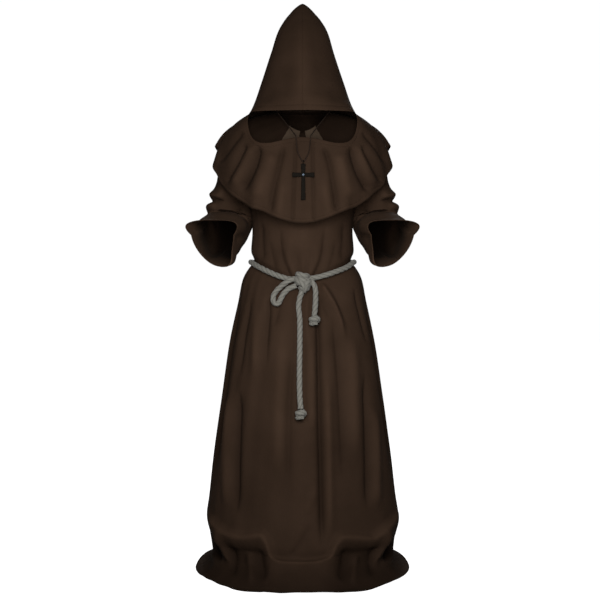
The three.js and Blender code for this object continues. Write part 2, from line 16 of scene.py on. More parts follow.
import bmesh
import bpy
import numpy as np
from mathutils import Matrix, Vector

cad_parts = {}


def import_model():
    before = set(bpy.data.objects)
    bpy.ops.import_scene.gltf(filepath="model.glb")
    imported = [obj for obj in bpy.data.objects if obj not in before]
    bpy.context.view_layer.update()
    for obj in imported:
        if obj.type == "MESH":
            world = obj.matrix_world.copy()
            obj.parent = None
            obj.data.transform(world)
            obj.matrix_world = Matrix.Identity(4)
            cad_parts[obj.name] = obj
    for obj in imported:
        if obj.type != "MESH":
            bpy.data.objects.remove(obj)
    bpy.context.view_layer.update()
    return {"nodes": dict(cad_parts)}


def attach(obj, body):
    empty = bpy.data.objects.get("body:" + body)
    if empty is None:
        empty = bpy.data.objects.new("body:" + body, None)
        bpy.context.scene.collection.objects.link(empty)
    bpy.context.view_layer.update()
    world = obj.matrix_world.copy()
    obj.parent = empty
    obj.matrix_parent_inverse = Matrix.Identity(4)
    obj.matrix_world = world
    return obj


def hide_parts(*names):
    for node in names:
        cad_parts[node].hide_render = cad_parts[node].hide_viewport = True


LOG = logging.getLogger("monk_costume")
MM = 0.001
HOLD_Z = 1500.0
WALL = 2.0
ROPE_DIAMETER = 16.0
NECK_CORD_DIAMETER = 3.0
BELT_ROW = 13.0
STITCH_LIFT = 0.1

Piece = bpy.types.Object
Material = bpy.types.Material
Socket = bpy.types.NodeSocket
Tree = bpy.types.NodeTree
Array = np.ndarray
Color = tuple[float, float, float]
Span = tuple[float, float]
Point = tuple[float, float, float]
Route = Sequence[Point]


def smooth_rows(values: Array, places: Array, closed: bool = False) -> Array:
    """Blend the rows of an array smoothly at fractional places.

    Args:
        values: Rows along the first axis.
        places: Fractional row numbers.
        closed: Whether the last row meets the first again.

    Returns:
        One blended row for each place.
    """
    count = len(values)
    start = np.floor(places).astype(int)
    if not closed:
        start = np.clip(start, 0, count - 2)
    t = (places - start).reshape((-1,) + (1,) * (values.ndim - 1))
    index = [start + step for step in (-1, 0, 1, 2)]
    picked = [values[i % count] if closed else values[np.clip(i, 0, count - 1)] for i in index]
    a, b, c, d = picked
    rise = t * t * (3 - 2 * t)
    leave = (c - a) / 2 * t * (1 - t) ** 2
    arrive = (d - b) / 2 * t * t * (t - 1)
    return b + (c - b) * rise + leave + arrive


def smoothstep(values: Array, low: float, high: float) -> Array:
    """Ease from 0 at low to 1 at high."""
    t = np.clip((values - low) / (high - low), 0.0, 1.0)
    return t * t * (3 - 2 * t)


def bell(values: Array, width: float) -> Array:
    """Give a bell curve that is 1 at zero and fades over a width."""
    return np.exp(-((values / width) ** 2))


def signed_power(values: Array, power: Array | float) -> Array:
    """Raise to a power and keep the sign, for outlines squarer than an ellipse."""
    return np.sign(values) * np.abs(values) ** power


def in_frame(points: Sequence[Sequence[float]] | Array) -> list[Vector]:
    """Turn points in millimetres above the floor into metres of the shared frame."""
    return [Vector((x * MM, y * MM, (z - HOLD_Z) * MM)) for x, y, z in points]


def add_object(name: str, data: bpy.types.ID) -> Piece:
    """Make an object from its data and put it into the scene."""
    new = bpy.data.objects.new(name, data)
    bpy.context.scene.collection.objects.link(new)
    return new


def steps_between(counts: Sequence[int]) -> Array:
    """Give fractional row places with the stated number of steps in each interval."""
    parts = [i + np.arange(count) / count for i, count in enumerate(counts)]
    return np.append(np.concatenate(parts), float(len(counts)))


@dataclass(frozen=True)
class Table:
    """Rows of numbers under named columns."""

    header: str
    rows: tuple[tuple[float, ...], ...]

    def at(self, places: Array) -> dict[str, Array]:
        """Blend the rows at fractional places.

        Args:
            places: Fractional row numbers, in any shape.

        Returns:
            Each named column at those places, in the same shape.
        """
        blended = smooth_rows(np.array(self.rows, float), places.ravel())
        names = self.header.split()
        return {name: blended[:, i].reshape(places.shape) for i, name in enumerate(names)}

    def points(self, line: str = "") -> Array:
        """Give the x, y and z columns of every row as points, those of a named line if given."""
        columns = [self.header.split().index(line + axis) for axis in "xyz"]
        return np.array(self.rows, float)[:, columns]


ROBE_ROWS = Table("side front_z back_z half front back square", (
    (1562, 1478, 1568, 88, 100, 84, 2),
    (1556, 1450, 1560, 130, 112, 98, 2),
    (1549, 1436, 1552, 170, 122, 112, 2),
    (1536, 1418, 1538, 206, 132, 124, 2),
    (1508, 1395, 1508, 241, 140, 132, 2),
    (1470, 1365, 1470, 252, 146, 138, 2),
    (1410, 1330, 1410, 246, 149, 139, 2),
    (1350, 1300, 1350, 228, 150, 140, 2),
    (1280, 1265, 1280, 202, 150, 138, 2),
    (1210, 1200, 1210, 178, 146, 134, 2),
    (1150, 1130, 1150, 173, 140, 130, 2),
    (1085, 1020, 1088, 177, 136, 126, 2),
    (1062, 990, 1066, 170, 127, 118, 2),
    (1045, 972, 1050, 166, 122, 114, 2),
    (1026, 952, 1032, 183, 130, 123, 2),
    (985, 905, 990, 204, 158, 152, 2),
    (914, 850, 914, 219, 178, 176, 2),
    (776, 740, 776, 249, 205, 208, 2),
    (569, 569, 569, 279, 232, 240, 2),
    (396, 388, 396, 303, 250, 266, 2),
    (250, 215, 250, 320, 260, 285, 2.1),
    (172, 118, 172, 330, 272, 300, 2.2),
    (110, 80, 110, 318, 272, 298, 2.4),
    (58, 46, 60, 314, 296, 312, 2.8),
    (16, 16, 16, 334, 350, 352, 3.2),
    (2, 2, 2, 352, 382, 396, 2.8),
    (2, 2, 2, 366, 400, 420, 2.6),
))
SLEEVE_ROWS = Table("x y z outer inner top under flare taper lean", (
    (170, 5, 1440, 78, 70, 75, 75, 0, 0, 0),
    (205, 8, 1395, 70, 66, 75, 74, 0, 0, 0),
    (235, 15, 1330, 61, 60, 72, 74, 0, 0, 0),
    (256, 42, 1265, 62, 62, 68, 76, 0, 0, 0),
    (268, 52, 1205, 68, 98, 64, 78, 0, 0, 0),
    (274, 15, 1158, 66, 91, 66, 80, 0.1, 0, 0),
    (276, -70, 1138, 66, 84, 76, 80, 0.25, 0.05, 2),
    (276, -130, 1130, 64, 80, 72, 80, 0.42, 0.1, 3),
    (276, -190, 1126, 71, 66, 56, 85, 0.55, 0.15, 5),
    (275, -232, 1125, 87, 52, 49, 101, 0.65, 0.2, 6),
))
CAPE_STATIONS = Table("ring_x ring_y ring_z pull_x pull_y pull_z hem_x hem_y hem_z", (
    (0, -205, 1447, 0, -226, 1306, 0, -215, 1165),
    (62, -203, 1441, 64, -224, 1310, 64, -213, 1176),
    (115, -196, 1437, 130, -218, 1322, 136, -200, 1206),
    (152, -180, 1440, 178, -195, 1332, 180, -165, 1224),
    (174, -155, 1465, 222, -167, 1373, 229, -130, 1260),
    (184, -128, 1508, 264, -134, 1426, 272, -75, 1300),
    (182, -95, 1538, 274, -84, 1471, 290, -50, 1340),
    (178, -40, 1550, 280, -34, 1505, 309, -20, 1376),
    (172, 20, 1553, 241, 22, 1535, 288, 25, 1424),
    (165, 55, 1552, 275, 60, 1530, 309, 65, 1452),
    (150, 85, 1550, 253, 124, 1522, 272, 115, 1385),
    (112, 130, 1545, 229, 196, 1487, 250, 165, 1300),
    (60, 152, 1540, 120, 234, 1422, 140, 212, 1215),
    (0, 160, 1538, 0, 248, 1406, 0, 232, 1190),
))
BRIM = Table("x y z", (
    (0, -212, 1536),
    (48, -208, 1536),
    (95, -196, 1537),
    (130, -178, 1539),
    (155, -155, 1541),
    (172, -128, 1543),
))
HOOD_ROWS = Table("z half middle front back", (
    (1909, 45, 40, 42, 40),
    (1870, 73, 32, 66, 62),
    (1830, 91, 22, 85, 84),
    (1771, 107, 8, 108, 116),
    (1711, 125, -5, 130, 140),
    (1652, 144, -12, 155, 155),
    (1593, 163, -20, 176, 172),
))
HOOD_TIP = (0.0, 45.0, 1948.0)
STATION_ANGLES = (0, 15, 30, 42, 52, 62, 72, 85, 100, 112, 125, 145, 162, 180)

# Stations from the front: the cape's shoulder seam, the ends of the open neck and of the brim.
SHOULDER_SEAM = 8
NECK_OPENING = 4
BRIM_END = 5

LOOP_ROUTE = (
    (-24, -149, 985), (-40, -147.5, 981), (-54, -145, 973), (-73, -138, 958), (-89, -143, 941),
    (-97, -153, 924), (-95, -159, 908), (-86, -164, 901), (-77, -163, 907), (-70, -156, 922),
    (-60, -149, 938), (-45, -144, 952), (-20, -147, 962),
)
LONG_TAIL_ROUTE = (
    (0, -151, 950), (-6, -153, 930), (-10, -159, 915), (-13, -169.5, 890), (-9, -184, 848),
    (-9, -206.5, 760), (-10, -224, 669), (-9, -235.5, 600), (-7, -243, 580), (-6, -251, 560),
)
SHORT_TAIL_ROUTE = (
    (22, -147, 980), (36, -147.5, 968), (43, -148, 948), (43.5, -155, 925), (43, -163.5, 905),
    (41, -175, 880), (39, -189, 858),
)
NECK_CORD_ROUTE = (
    (2.5, -222.3, 1365.4), (-7, -220.5, 1378), (-15, -216, 1396), (-19, -212.6, 1420),
    (-21, -209.6, 1441), (-22, -206, 1452.2), (-24, -193, 1456), (-36, -150, 1478),
    (-62, -112, 1516), (-88, -70, 1554), (-97, -20, 1572), (-92, 30, 1578), (-62, 72, 1580),
    (-3, 89, 1580),
)
KNOT_STRANDS = (
    ((-16, -134, 998), (-15, -148, 1000), (-8, -158, 998), (4, -160, 995), (14, -152, 994),
     (17, -136, 993)),
    ((-18, -136, 986), (-18, -150, 985), (-9, -163, 983), (4, -165, 980), (16, -155, 979),
     (20, -140, 980)),
    ((-18, -138, 970), (-17, -150, 971), (-8, -163, 970), (5, -166, 967), (16, -157, 963),
     (19, -142, 962)),
    ((-6, -142, 956), (-5, -152, 955), (2, -161, 953), (10, -159, 951), (15, -149, 952),
     (15, -140, 954)),
    ((-24, -149, 985), (-18, -158, 979), (-8, -168, 973), (4, -170, 962), (8, -162, 950),
     (4, -152, 944)),
    ((22, -147, 980), (19, -156, 975), (14, -165, 968), (10, -164, 958)),
)
LONG_END_KNOT = (-6.0, -253.6, 544.0)
SHORT_END_KNOT = (39.0, -195.6, 847.0)


class Profile(Enum):
    """The shape across a fold."""

    SOFT = "a rounded swell or hollow"
    CREASE = "a narrow line with wide shoulders"
    STEP = "a lap that drops on one side"


@dataclass(frozen=True)
class Fold:
    """One fold placed on a cloth's own pair of coordinates.

    Attributes:
        route: The points that the fold runs through.
        width: Its reach to each side.
        out: How far it stands out; below zero it is a furrow.
        profile: The shape across it.
        ends: The share of its length over which each end fades.
    """

    route: tuple[tuple[float, float], ...]
    width: float
    out: float
    profile: Profile = Profile.SOFT
    ends: float = 0.25

    def relief(self, u: Array, v: Array, u_scale: Array | float = 1.0, v_scale: float = 1.0,
               turn: float = 0.0) -> Array:
        """Work out how far this fold pushes each point of a cloth.

        Args:
            u: First coordinate of each point.
            v: Second coordinate of each point.
            u_scale: Millimetres for each unit of u.
            v_scale: Millimetres for each unit of v.
            turn: The length after which u repeats, or zero.

        Returns:
            The push along the normal.
        """
        best = np.full(u.shape, 1e9)
        side = np.zeros(u.shape)
        along = np.zeros(u.shape)
        legs = len(self.route) - 1
        spans = 3 * legs if legs > 1 else 1
        line = smooth_rows(np.array(self.route, float), np.linspace(0, legs, spans + 1))
        for i, ((u0, v0), (u1, v1)) in enumerate(zip(line, line[1:])):
            gap = u - u0
            if turn:
                gap = (gap + turn / 2) % turn - turn / 2
            dx, dy = gap * u_scale, (v - v0) * v_scale
            ex, ey = (u1 - u0) * u_scale, (v1 - v0) * v_scale
            reach = ex * ex + ey * ey + 1e-9
            t = np.clip((dx * ex + dy * ey) / reach, 0.0, 1.0)
            away = np.hypot(dx - t * ex, dy - t * ey)
            nearer = away < best
            best = np.where(nearer, away, best)
            side = np.where(nearer, (dx * ey - dy * ex) / np.sqrt(reach), side)
            along = np.where(nearer, (i + t) / spans, along)
        fade = smoothstep(along, -0.01, self.ends) * (1 - smoothstep(along, 1 - self.ends, 1.01))
        x = best / self.width
        if self.profile is Profile.SOFT:
            shape = np.exp(-x * x)
        elif self.profile is Profile.CREASE:
            shape = np.exp(-1.5 * (np.sqrt(x * x + 0.04) - 0.2)) * np.exp(-0.22 * x * x)
        else:
            lap = side / self.width
            shape = np.exp(-lap * lap * np.where(lap > 0, 0.6, 12.0))
        return self.out * fade * shape


def crease(route: tuple[tuple[float, float], ...], width: float, out: float,
           ends: float = 0.25) -> Fold:
    """Place a crease, as Fold does."""
    return Fold(route, width, out, Profile.CREASE, ends)


def mirrored(*folds: Fold) -> tuple[Fold, ...]:
    """Give each fold with its mirror image on the other side."""
    images = [replace(one, route=tuple((-u, v) for u, v in one.route)) for one in folds]
    return (*folds, *images)


def relief_of(folds: Sequence[Fold], u: Array, v: Array, **scales: Array | float) -> Array:
    """Add up how far several folds push each point of a cloth.

    Args:
        folds: The folds.
        u: First coordinate of each point.
        v: Second coordinate of each point.
        scales: What else Fold.relief takes.

    Returns:
        The push along the normal.
    """
    return sum(fold.relief(u, v, **scales) for fold in folds)


@dataclass(frozen=True)
class Ripple:
    """Soft unevenness of hanging cloth, from a few long waves.

    Attributes:
        height: Its largest push.
        length: The typical length of a wave.
        seed: Fixes the waves.
        rise: How much a wave changes with height; near zero the waves are upright flutes.
    """

    height: float
    length: float
    seed: int
    rise: float = 0.45

    def relief(self, points: Array) -> Array:
        """Give the push at each point."""
        maker = np.random.default_rng(self.seed)
        total = np.zeros(points.shape[:-1])
        for _ in range(7):
            way = maker.normal(size=3)
            way /= np.linalg.norm(way)
            pace = 2 * math.pi / (self.length * maker.uniform(0.7, 1.6))
            phase = maker.uniform(0, 2 * math.pi)
            total += np.sin(points @ (way * (1.0, 1.0, self.rise) * pace) + phase)
        return self.height * total / 7


def round_points(angle: Array, height: Array, radius: float = 250.0) -> Array:
    """Lay cloth on an upright drum, so that waves over it fan out with the cloth.

    Args:
        angle: Degrees from the front.
        height: Millimetres above the floor.
        radius: Radius of the drum.

    Returns:
        The points on the drum.
    """
    turn = np.radians(angle)
    return np.stack([radius * np.sin(turn), -radius * np.cos(turn), height], axis=-1)


def normals_of(grid: Array, closed: bool) -> Array:
    """Work out the outward normals of a grid of points.

    Args:
        grid: Points, row by row from the top, its columns running round by +X.
        closed: Whether the columns close into a ring.

    Returns:
        A unit normal for each point.
    """
    down = np.gradient(grid, axis=0)
    if closed:
        across = np.roll(grid, -1, 1) - np.roll(grid, 1, 1)
    else:
        across = np.gradient(grid, axis=1)
    normal = np.cross(down, across)
    return normal / np.maximum(np.linalg.norm(normal, axis=2, keepdims=True), 1e-9)


def edge_distance(grid: Array, from_top: bool) -> Array:
    """Measure along each column from its top or bottom edge."""
    steps = np.linalg.norm(np.diff(grid, axis=0), axis=2)
    start = np.zeros((1, grid.shape[1]))
    if from_top:
        return np.concatenate([start, np.cumsum(steps, axis=0)])
    return np.concatenate([start, np.cumsum(steps[::-1], axis=0)])[::-1]


def hem_relief(distance: Array, band: float) -> Array:
    """Shape a turned hem: a slightly raised band with a stitched groove at its inner edge.

    Args:
        distance: Millimetres from the edge.
        band: Width of the turned band.

    Returns:
        The push along the normal.
    """
    raised = 0.7 * (1 - smoothstep(distance, band - 2.0, band + 2.0))
    groove = 1.1 * np.exp(-(((distance - band) / 2.2) ** 2))
    return raised - groove


@dataclass(frozen=True)
class ClothWall:
    """A thin cloth wall over a grid of outer points.

    Attributes:
        name: Name of the object.
        grid: Outer points in millimetres above the floor.
        closed: Whether the columns close into a ring.
        normals: Outward normals, or None to work them out.
        keep: Which cells stay, or None for all.
        wall: Thickness in millimetres.
        tone: Painted light and shade at each outer point, lighter or darker than the plain cloth.
        inner_tone: Painted shade on the inner side, as one value or one for each point.
    """

    name: str
    grid: Array
    closed: bool = False
    normals: Array | None = None
    keep: Array | None = None
    wall: float = WALL
    tone: Array | None = None
    inner_tone: Array | float = 0.0

    def cells(self) -> Array:
        """Give the corners of each kept cell, anticlockwise from outside."""
        rows, columns = self.grid.shape[:2]
        number = np.arange(rows * columns).reshape(rows, columns)
        ahead = np.roll(number, -1, 1) if self.closed else number[:, 1:]
        here = number if self.closed else number[:, :-1]
        corners = np.stack([here[:-1], here[1:], ahead[1:], ahead[:-1]], axis=-1)
        if self.keep is not None:
            return corners[self.keep]
        return corners.reshape(-1, 4)

    def build(self, material: Material) -> Piece:
        """Make the wall's mesh, with rounded rims and a UV map in metres.

        Args:
            material: The finish.

        Returns:
            The new object.
        """
        rows, columns = self.grid.shape[:2]
        normal = normals_of(self.grid, self.closed) if self.normals is None else self.normals
        inner = self.grid - self.wall * normal
        inner[..., 2] = np.maximum(inner[..., 2], 0.2)
        outer_flat = self.grid.reshape(-1, 3)
        inner_flat = inner.reshape(-1, 3)
        count = rows * columns
        cells = self.cells()
        starts = cells.ravel()
        ends = np.roll(cells, -1, axis=1).ravel()
        key = starts.astype(np.int64) * count + ends
        twin = ends.astype(np.int64) * count + starts
        open_edge = ~np.isin(key, twin)
        a, b = starts[open_edge], ends[open_edge]
        outward = np.zeros((count, 3))
        push = np.cross(outer_flat[b] - outer_flat[a], normal.reshape(-1, 3)[a])
        np.add.at(outward, a, push)
        np.add.at(outward, b, push)
        rim_ids = np.unique(np.concatenate([a, b]))
        lengths = np.maximum(np.linalg.norm(outward[rim_ids], axis=1, keepdims=True), 1e-9)
        middle = (outer_flat[rim_ids] + inner_flat[rim_ids]) / 2
        rim = middle + outward[rim_ids] / lengths * self.wall * 0.42
        rim[:, 2] = np.maximum(rim[:, 2], 0.3)
        rim_number = np.zeros(count, int)
        rim_number[rim_ids] = 2 * count + np.arange(len(rim_ids))
        faces = np.concatenate([
            cells,
            cells[:, ::-1] + count,
            np.stack([b, a, rim_number[a], rim_number[b]], axis=1),
            np.stack([rim_number[b], rim_number[a], a + count, b + count], axis=1),
        ])
        points = np.concatenate([outer_flat, inner_flat, rim])
        points[:, 2] -= HOLD_Z
        mesh = bpy.data.meshes.new(self.name)
        mesh.from_pydata((points * MM).tolist(), [], faces.tolist())
        self.write_uv(mesh, faces, rim_ids, count, columns)
        self.write_painted_shading(mesh, rim_ids)
        mesh.polygons.foreach_set("use_smooth", [True] * len(mesh.polygons))
        mesh.materials.append(material)
        piece = add_object(self.name, mesh)
        tidy_mesh(piece)
        return piece

    def write_painted_shading(self, mesh: bpy.types.Mesh, rim_ids: Array) -> None:
        """Write the cloth's painted light and shade as an attribute.

        Args:
            mesh: The wall's mesh.
            rim_ids: The outer points that the rim's points belong to.
        """
        outer = np.zeros(self.grid.shape[:2]) if self.tone is None else self.tone
        outer = outer.reshape(-1)
        inner = np.minimum(outer, np.reshape(self.inner_tone, -1))
        values = np.concatenate([outer, inner, outer[rim_ids]])
        layer = mesh.attributes.new("tone", "FLOAT", "POINT")
        layer.data.foreach_set("value", values.astype(np.float32))

    def write_uv(self, mesh: bpy.types.Mesh, faces: Array, rim_ids: Array, count: int,
                 columns: int) -> None:
        """Write a UV map whose unit is a metre of cloth.

        Args:
            mesh: The wall's mesh.
            faces: Its faces.
            rim_ids: The outer points that the rim's points belong to.
            count: Number of outer points.
            columns: Number of columns in the grid.
        """
        across = np.linalg.norm(np.diff(self.grid, axis=1), axis=2).mean(axis=0)
        down = np.linalg.norm(np.diff(self.grid, axis=0), axis=2).mean(axis=1)
        u = np.append(0, np.cumsum(across)) * MM
        v = -np.append(0, np.cumsum(down)) * MM
        corner = faces.ravel()
        own = np.where(corner < count, corner, corner - count)
        own = np.where(corner >= 2 * count, rim_ids[np.clip(corner - 2 * count, 0, None)
                                                    % max(len(rim_ids), 1)], own)
        column = own % columns
        if self.closed:
            face_columns = column.reshape(-1, 4)
            crosses = (face_columns.max(axis=1) == columns - 1) & (face_columns.min(axis=1) == 0)
            wrapped = np.repeat(crosses, 4) & (column == 0)
        else:
            wrapped = np.zeros(len(column), bool)
        coordinates = np.stack([u[column] + wrapped * (u[-1] + u[1]), v[own // columns]], axis=1)
        layer = mesh.uv_layers.new(name="cloth")
        layer.data.foreach_set("uv", coordinates.ravel().astype(np.float32))


def painted_crease_shading(relief: Array, depth: float = 22.0, share: float = 0.4) -> Array:
    """Paint shade into furrows and paint light on ridges.

    Args:
        relief: The push of the folds.
        depth: The push that gives the full change.
        share: The full change of tone.

    Returns:
        The tone at each point.
    """
    return share * np.clip(relief / depth, -1.0, 0.8)


def tidy_mesh(piece: Piece) -> None:
    """Drop loose points and merge the ones that share a place."""
    work = bmesh.new()
    work.from_mesh(piece.data)
    loose = [point for point in work.verts if not point.link_faces]
    bmesh.ops.delete(work, geom=loose, context="VERTS")
    bmesh.ops.remove_doubles(work, verts=work.verts, dist=1e-6)
    bmesh.ops.dissolve_degenerate(work, edges=work.edges, dist=1e-7)
    work.to_mesh(piece.data)
    work.free()


@dataclass
class Surface:
    """The outer side of a cloth whose columns close into a ring.

    Attributes:
        grid: Its points, row by row from the top.
        tone: Painted light and shade at each point, lighter or darker than the plain cloth.
        normals: The outward normals, worked out from the points.
    """

    grid: Array
    tone: Array
    normals: Array = field(init=False)

    def __post_init__(self) -> None:
        """Work out the normals."""
        self.normals = normals_of(self.grid, True)

    def panel(self, name: str, columns: Array, finish: Material, inner_tone: float,
              keep: Array | None = None) -> Piece:
        """Make the wall that takes the place of one solid panel.

        Args:
            name: Name of the solid's node.
            columns: The panel's columns.
            finish: Its material.
            inner_tone: The painted shade of its inner side.
            keep: Which cells stay, or None for all.

        Returns:
            The panel.
        """
        wall = ClothWall(name + "_cloth", self.grid[:, columns], False, self.normals[:, columns],
                         keep, tone=self.tone[:, columns], inner_tone=inner_tone)
        piece = wall.build(finish)
        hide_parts(name)
        return piece

    def line(self, band: float, from_top: bool = False) -> Array:
        """Find the line that runs just above the cloth at a band's width from an edge.

        Args:
            band: The width.
            from_top: Whether the edge is the top one.

        Returns:
            One point for each column.
        """
        row = np.abs(edge_distance(self.grid, from_top) - band).argmin(axis=0)
        column = np.arange(self.grid.shape[1])
        return self.grid[row, column] + STITCH_LIFT * self.normals[row, column]


def ring_of(side: Array) -> Array:
    """Close one side's stations into a ring, from the front round by +X and back by -X."""
    other = side[-2:0:-1] * (-1, 1, 1)
    return np.concatenate([side, other])


class NodeTree:
    """A short way to write a node tree."""

    def __init__(self, tree: Tree) -> None:
        """Keep the tree."""
        self.tree = tree

    def node(self, kind: str, inputs: dict | None = None, **settings: object) -> bpy.types.Node:
        """Add a node, set it and wire its inputs.

        Args:
            kind: The node's type.
            inputs: Values or sockets for its inputs, by name or number.
            settings: Attributes of the node.

        Returns:
            The node.
        """
        new = self.tree.nodes.new(kind)
        for name, value in settings.items():
            setattr(new, name, value)
        self.wire(new, inputs or {})
        return new

    def wire(self, node: bpy.types.Node, inputs: dict) -> None:
        """Give a node's inputs their values, or link them where a value is a socket."""
        for key, value in inputs.items():
            if isinstance(value, Socket):
                self.tree.links.new(value, node.inputs[key])
            else:
                node.inputs[key].default_value = value

    def math(self, operation: str, first: object, second: object = 0.0,
             third: object = 0.0) -> Socket:
        """Add a Math node and give its result."""
        inputs = {0: first, 1: second, 2: third}
        return self.node("ShaderNodeMath", inputs, operation=operation).outputs[0]

    def noise(self, scale: object, detail: float, **inputs: object) -> Socket:
        """Add a Noise Texture on the object's own metres, if no Vector is given."""
        if "Vector" not in inputs:
            inputs["Vector"] = self.node("ShaderNodeTexCoord").outputs["Object"]
        inputs |= {"Scale": scale, "Detail": detail}
        return self.node("ShaderNodeTexNoise", inputs).outputs[0]

    def spread(self, value: object, low: float, high: float, to_low: float = 0.0,
               to_high: float = 1.0) -> Socket:
        """Map the values from low to high on to another span."""
        inputs = {0: value, 1: low, 2: high, 3: to_low, 4: to_high}
        return self.node("ShaderNodeMapRange", inputs).outputs[0]

    def blend(self, share: object, dark: Color, light: Color) -> Socket:
        """Mix two linear colours."""
        inputs = {0: share, 6: (*dark, 1.0), 7: (*light, 1.0)}
        return self.node("ShaderNodeMix", inputs, data_type="RGBA").outputs[2]

    def bump(self, height: object, strength: float, distance: float,
             **normal: object) -> Socket:
        """Turn a height into a normal, over an earlier Normal if one is given."""
        inputs = {"Height": height, "Strength": strength, "Distance": distance, **normal}
        return self.node("ShaderNodeBump", inputs).outputs[0]

    def end(self, geometry: object, finish: object) -> Tree:
        """Close a geometry tree: make its copies real and give them their material."""
        whole = self.node("GeometryNodeRealizeInstances", {0: geometry})
        done = self.node("GeometryNodeSetMaterial", {0: whole.outputs[0], "Material": finish})
        self.node("NodeGroupOutput", {"Geometry": done.outputs[0]})
        return self.tree


def new_group(name: str, kind: str, inputs: str, outputs: str) -> NodeTree:
    """Start a node group with named inputs and outputs.

    Args:
        name: Name of the group.
        kind: Type of the tree.
        inputs: Each input's name and form, as in "Radius:Float Finish:Material".
        outputs: The same for the outputs.

    Returns:
        The empty tree.
    """
    tree = bpy.data.node_groups.new(name, kind)
    for way, words in (("INPUT", inputs), ("OUTPUT", outputs)):
        for word in words.split():
            socket, form = word.split(":")
            tree.interface.new_socket(name=socket, in_out=way, socket_type="NodeSocket" + form)
    return NodeTree(tree)


def new_material(name: str) -> tuple[Material, NodeTree, bpy.types.Node]:
    """Start a material and give it, its tree and its Principled shader."""
    material = bpy.data.materials.new(name)
    material.use_nodes = True
    return material, NodeTree(material.node_tree), material.node_tree.nodes["Principled BSDF"]


def weave_group() -> Tree:
    """Build the group that draws crossing threads on a UV map in metres.

    Returns:
        A group with inputs Vector and Pitch and the output Height.
    """
    group = new_group("crossing threads", "ShaderNodeTree", "Vector:Vector Pitch:Float",
                      "Height:Float")
    start = group.node("NodeGroupInput")
    split = group.node("ShaderNodeSeparateXYZ", {0: start.outputs["Vector"]})
    pitch = start.outputs["Pitch"]
    u = group.math("DIVIDE", split.outputs[0], pitch)
    v = group.math("DIVIDE", split.outputs[1], pitch)
    warp = group.math("ABSOLUTE", group.math("SINE", group.math("MULTIPLY", u, math.pi)))
    weft = group.math("ABSOLUTE", group.math("SINE", group.math("MULTIPLY", v, math.pi)))
    cell = group.math("ADD", group.math("FLOOR", u), group.math("FLOOR", v))
    over = group.math("FLOORED_MODULO", cell, 2.0)
    under = group.math("SUBTRACT", 1.0, over)
    height = group.math("ADD", group.math("MULTIPLY", warp, over),
                        group.math("MULTIPLY", weft, under))
    group.node("NodeGroupOutput", {"Height": height})
    return group.tree


def crumple_group() -> Tree:
    """Build the group that gives small soft dents and a patchy tone.

    Returns:
        A group with inputs Vector and Scale and the outputs Height and Tone.
    """
    group = new_group("soft crumple", "ShaderNodeTree", "Vector:Vector Scale:Float",
                      "Height:Float Tone:Float")
    start = group.node("NodeGroupInput").outputs
    fine = group.noise(start["Scale"], 3.0, Vector=start["Vector"], Distortion=0.6)
    broad_scale = group.math("MULTIPLY", start["Scale"], 0.16)
    broad = group.noise(broad_scale, 2.0, Vector=start["Vector"])
    group.node("NodeGroupOutput", {"Height": fine, "Tone": broad})
    return group.tree


@dataclass(frozen=True)
class ClothFinish:
    """Woven cloth, matte and a little uneven in tone.

    Attributes:
        dark: Colour of its darker patches, linear.
        light: Colour of its lighter patches, linear.
        pitch: Distance between threads, in metres.
        scale: Number of small dents in a metre.
    """

    dark: Color
    light: Color
    pitch: float = 0.0007
    scale: float = 55.0

    def build(self, name: str, groups: dict[str, Tree]) -> Material:
        """Make the material.

        Args:
            name: Its name.
            groups: The shared node groups.

        Returns:
            The material.
        """
        material, nodes, shader = new_material(name)
        place = nodes.node("ShaderNodeTexCoord").outputs
        crumple = nodes.node("ShaderNodeGroup", {
            "Vector": place["Object"], "Scale": self.scale,
        }, node_tree=groups["crumple"]).outputs
        weave = nodes.node("ShaderNodeGroup", {
            "Vector": place["UV"], "Pitch": self.pitch,
        }, node_tree=groups["weave"]).outputs["Height"]
        patches = nodes.spread(crumple["Tone"], 0.3, 0.7)
        share = nodes.math("ADD", patches, nodes.math("MULTIPLY_ADD", weave, 0.35, -0.18))
        # The tone attribute holds painted light and shade; it scales the cloth's colour.
        own = nodes.node("ShaderNodeAttribute", attribute_name="tone")
        painted_colour = nodes.node("ShaderNodeVectorMath", {
            0: nodes.blend(share, self.dark, self.light),
            "Scale": nodes.math("ADD", 1.0, own.outputs["Fac"]),
        }, operation="SCALE")
        dents = nodes.bump(crumple["Height"], 0.28, 0.0025)
        nodes.wire(shader, {
            "Base Color": painted_colour.outputs[0],
            "Roughness": nodes.spread(crumple["Height"], 0.3, 0.7, 0.72, 0.86),
            "Normal": nodes.bump(weave, 0.25, 0.00015, Normal=dents),
            "Sheen Weight": 0.01,
            "Sheen Roughness": 0.45,
            "Sheen Tint": (0.75, 0.62, 0.5, 1.0),
            "Specular IOR Level": 0.02,
        })
        return material


@dataclass(frozen=True)
class FibreFinish:
    """Twisted fibre, for the rope and the neck cord.

    Attributes:
        dark: Colour of darker streaks and of the painted shade in the grooves, linear.
        light: Colour of the fibre, linear.
        scale: Number of fibre streaks in a metre.
        sheen: Weight of the soft fuzz on the fibre.
    """

    dark: Color
    light: Color
    scale: float
    sheen: float = 0.15

    def build(self, name: str) -> Material:
        """Make the material.

        Args:
            name: Its name.

        Returns:
            The material.
        """
        material, nodes, shader = new_material(name)
        streaks = nodes.noise(self.scale, 4.0)
        # Painted shade in the grooves between strands, deeper where the groove is deeper.
        groove = nodes.node("ShaderNodeAttribute", attribute_name="groove")
        deep = nodes.math("POWER", groove.outputs["Fac"], 2.2)
        plain = nodes.math("MULTIPLY_ADD", streaks, -0.5, 1.2)
        share = nodes.math("SUBTRACT", plain, nodes.math("MULTIPLY", deep, 0.8))
        nodes.wire(shader, {
            "Base Color": nodes.blend(share, self.dark, self.light),
            "Normal": nodes.bump(streaks, 0.5, 0.0006),
            "Roughness": 0.85,
            "Sheen Weight": self.sheen,
            "Specular IOR Level": 0.12,
        })
        return material


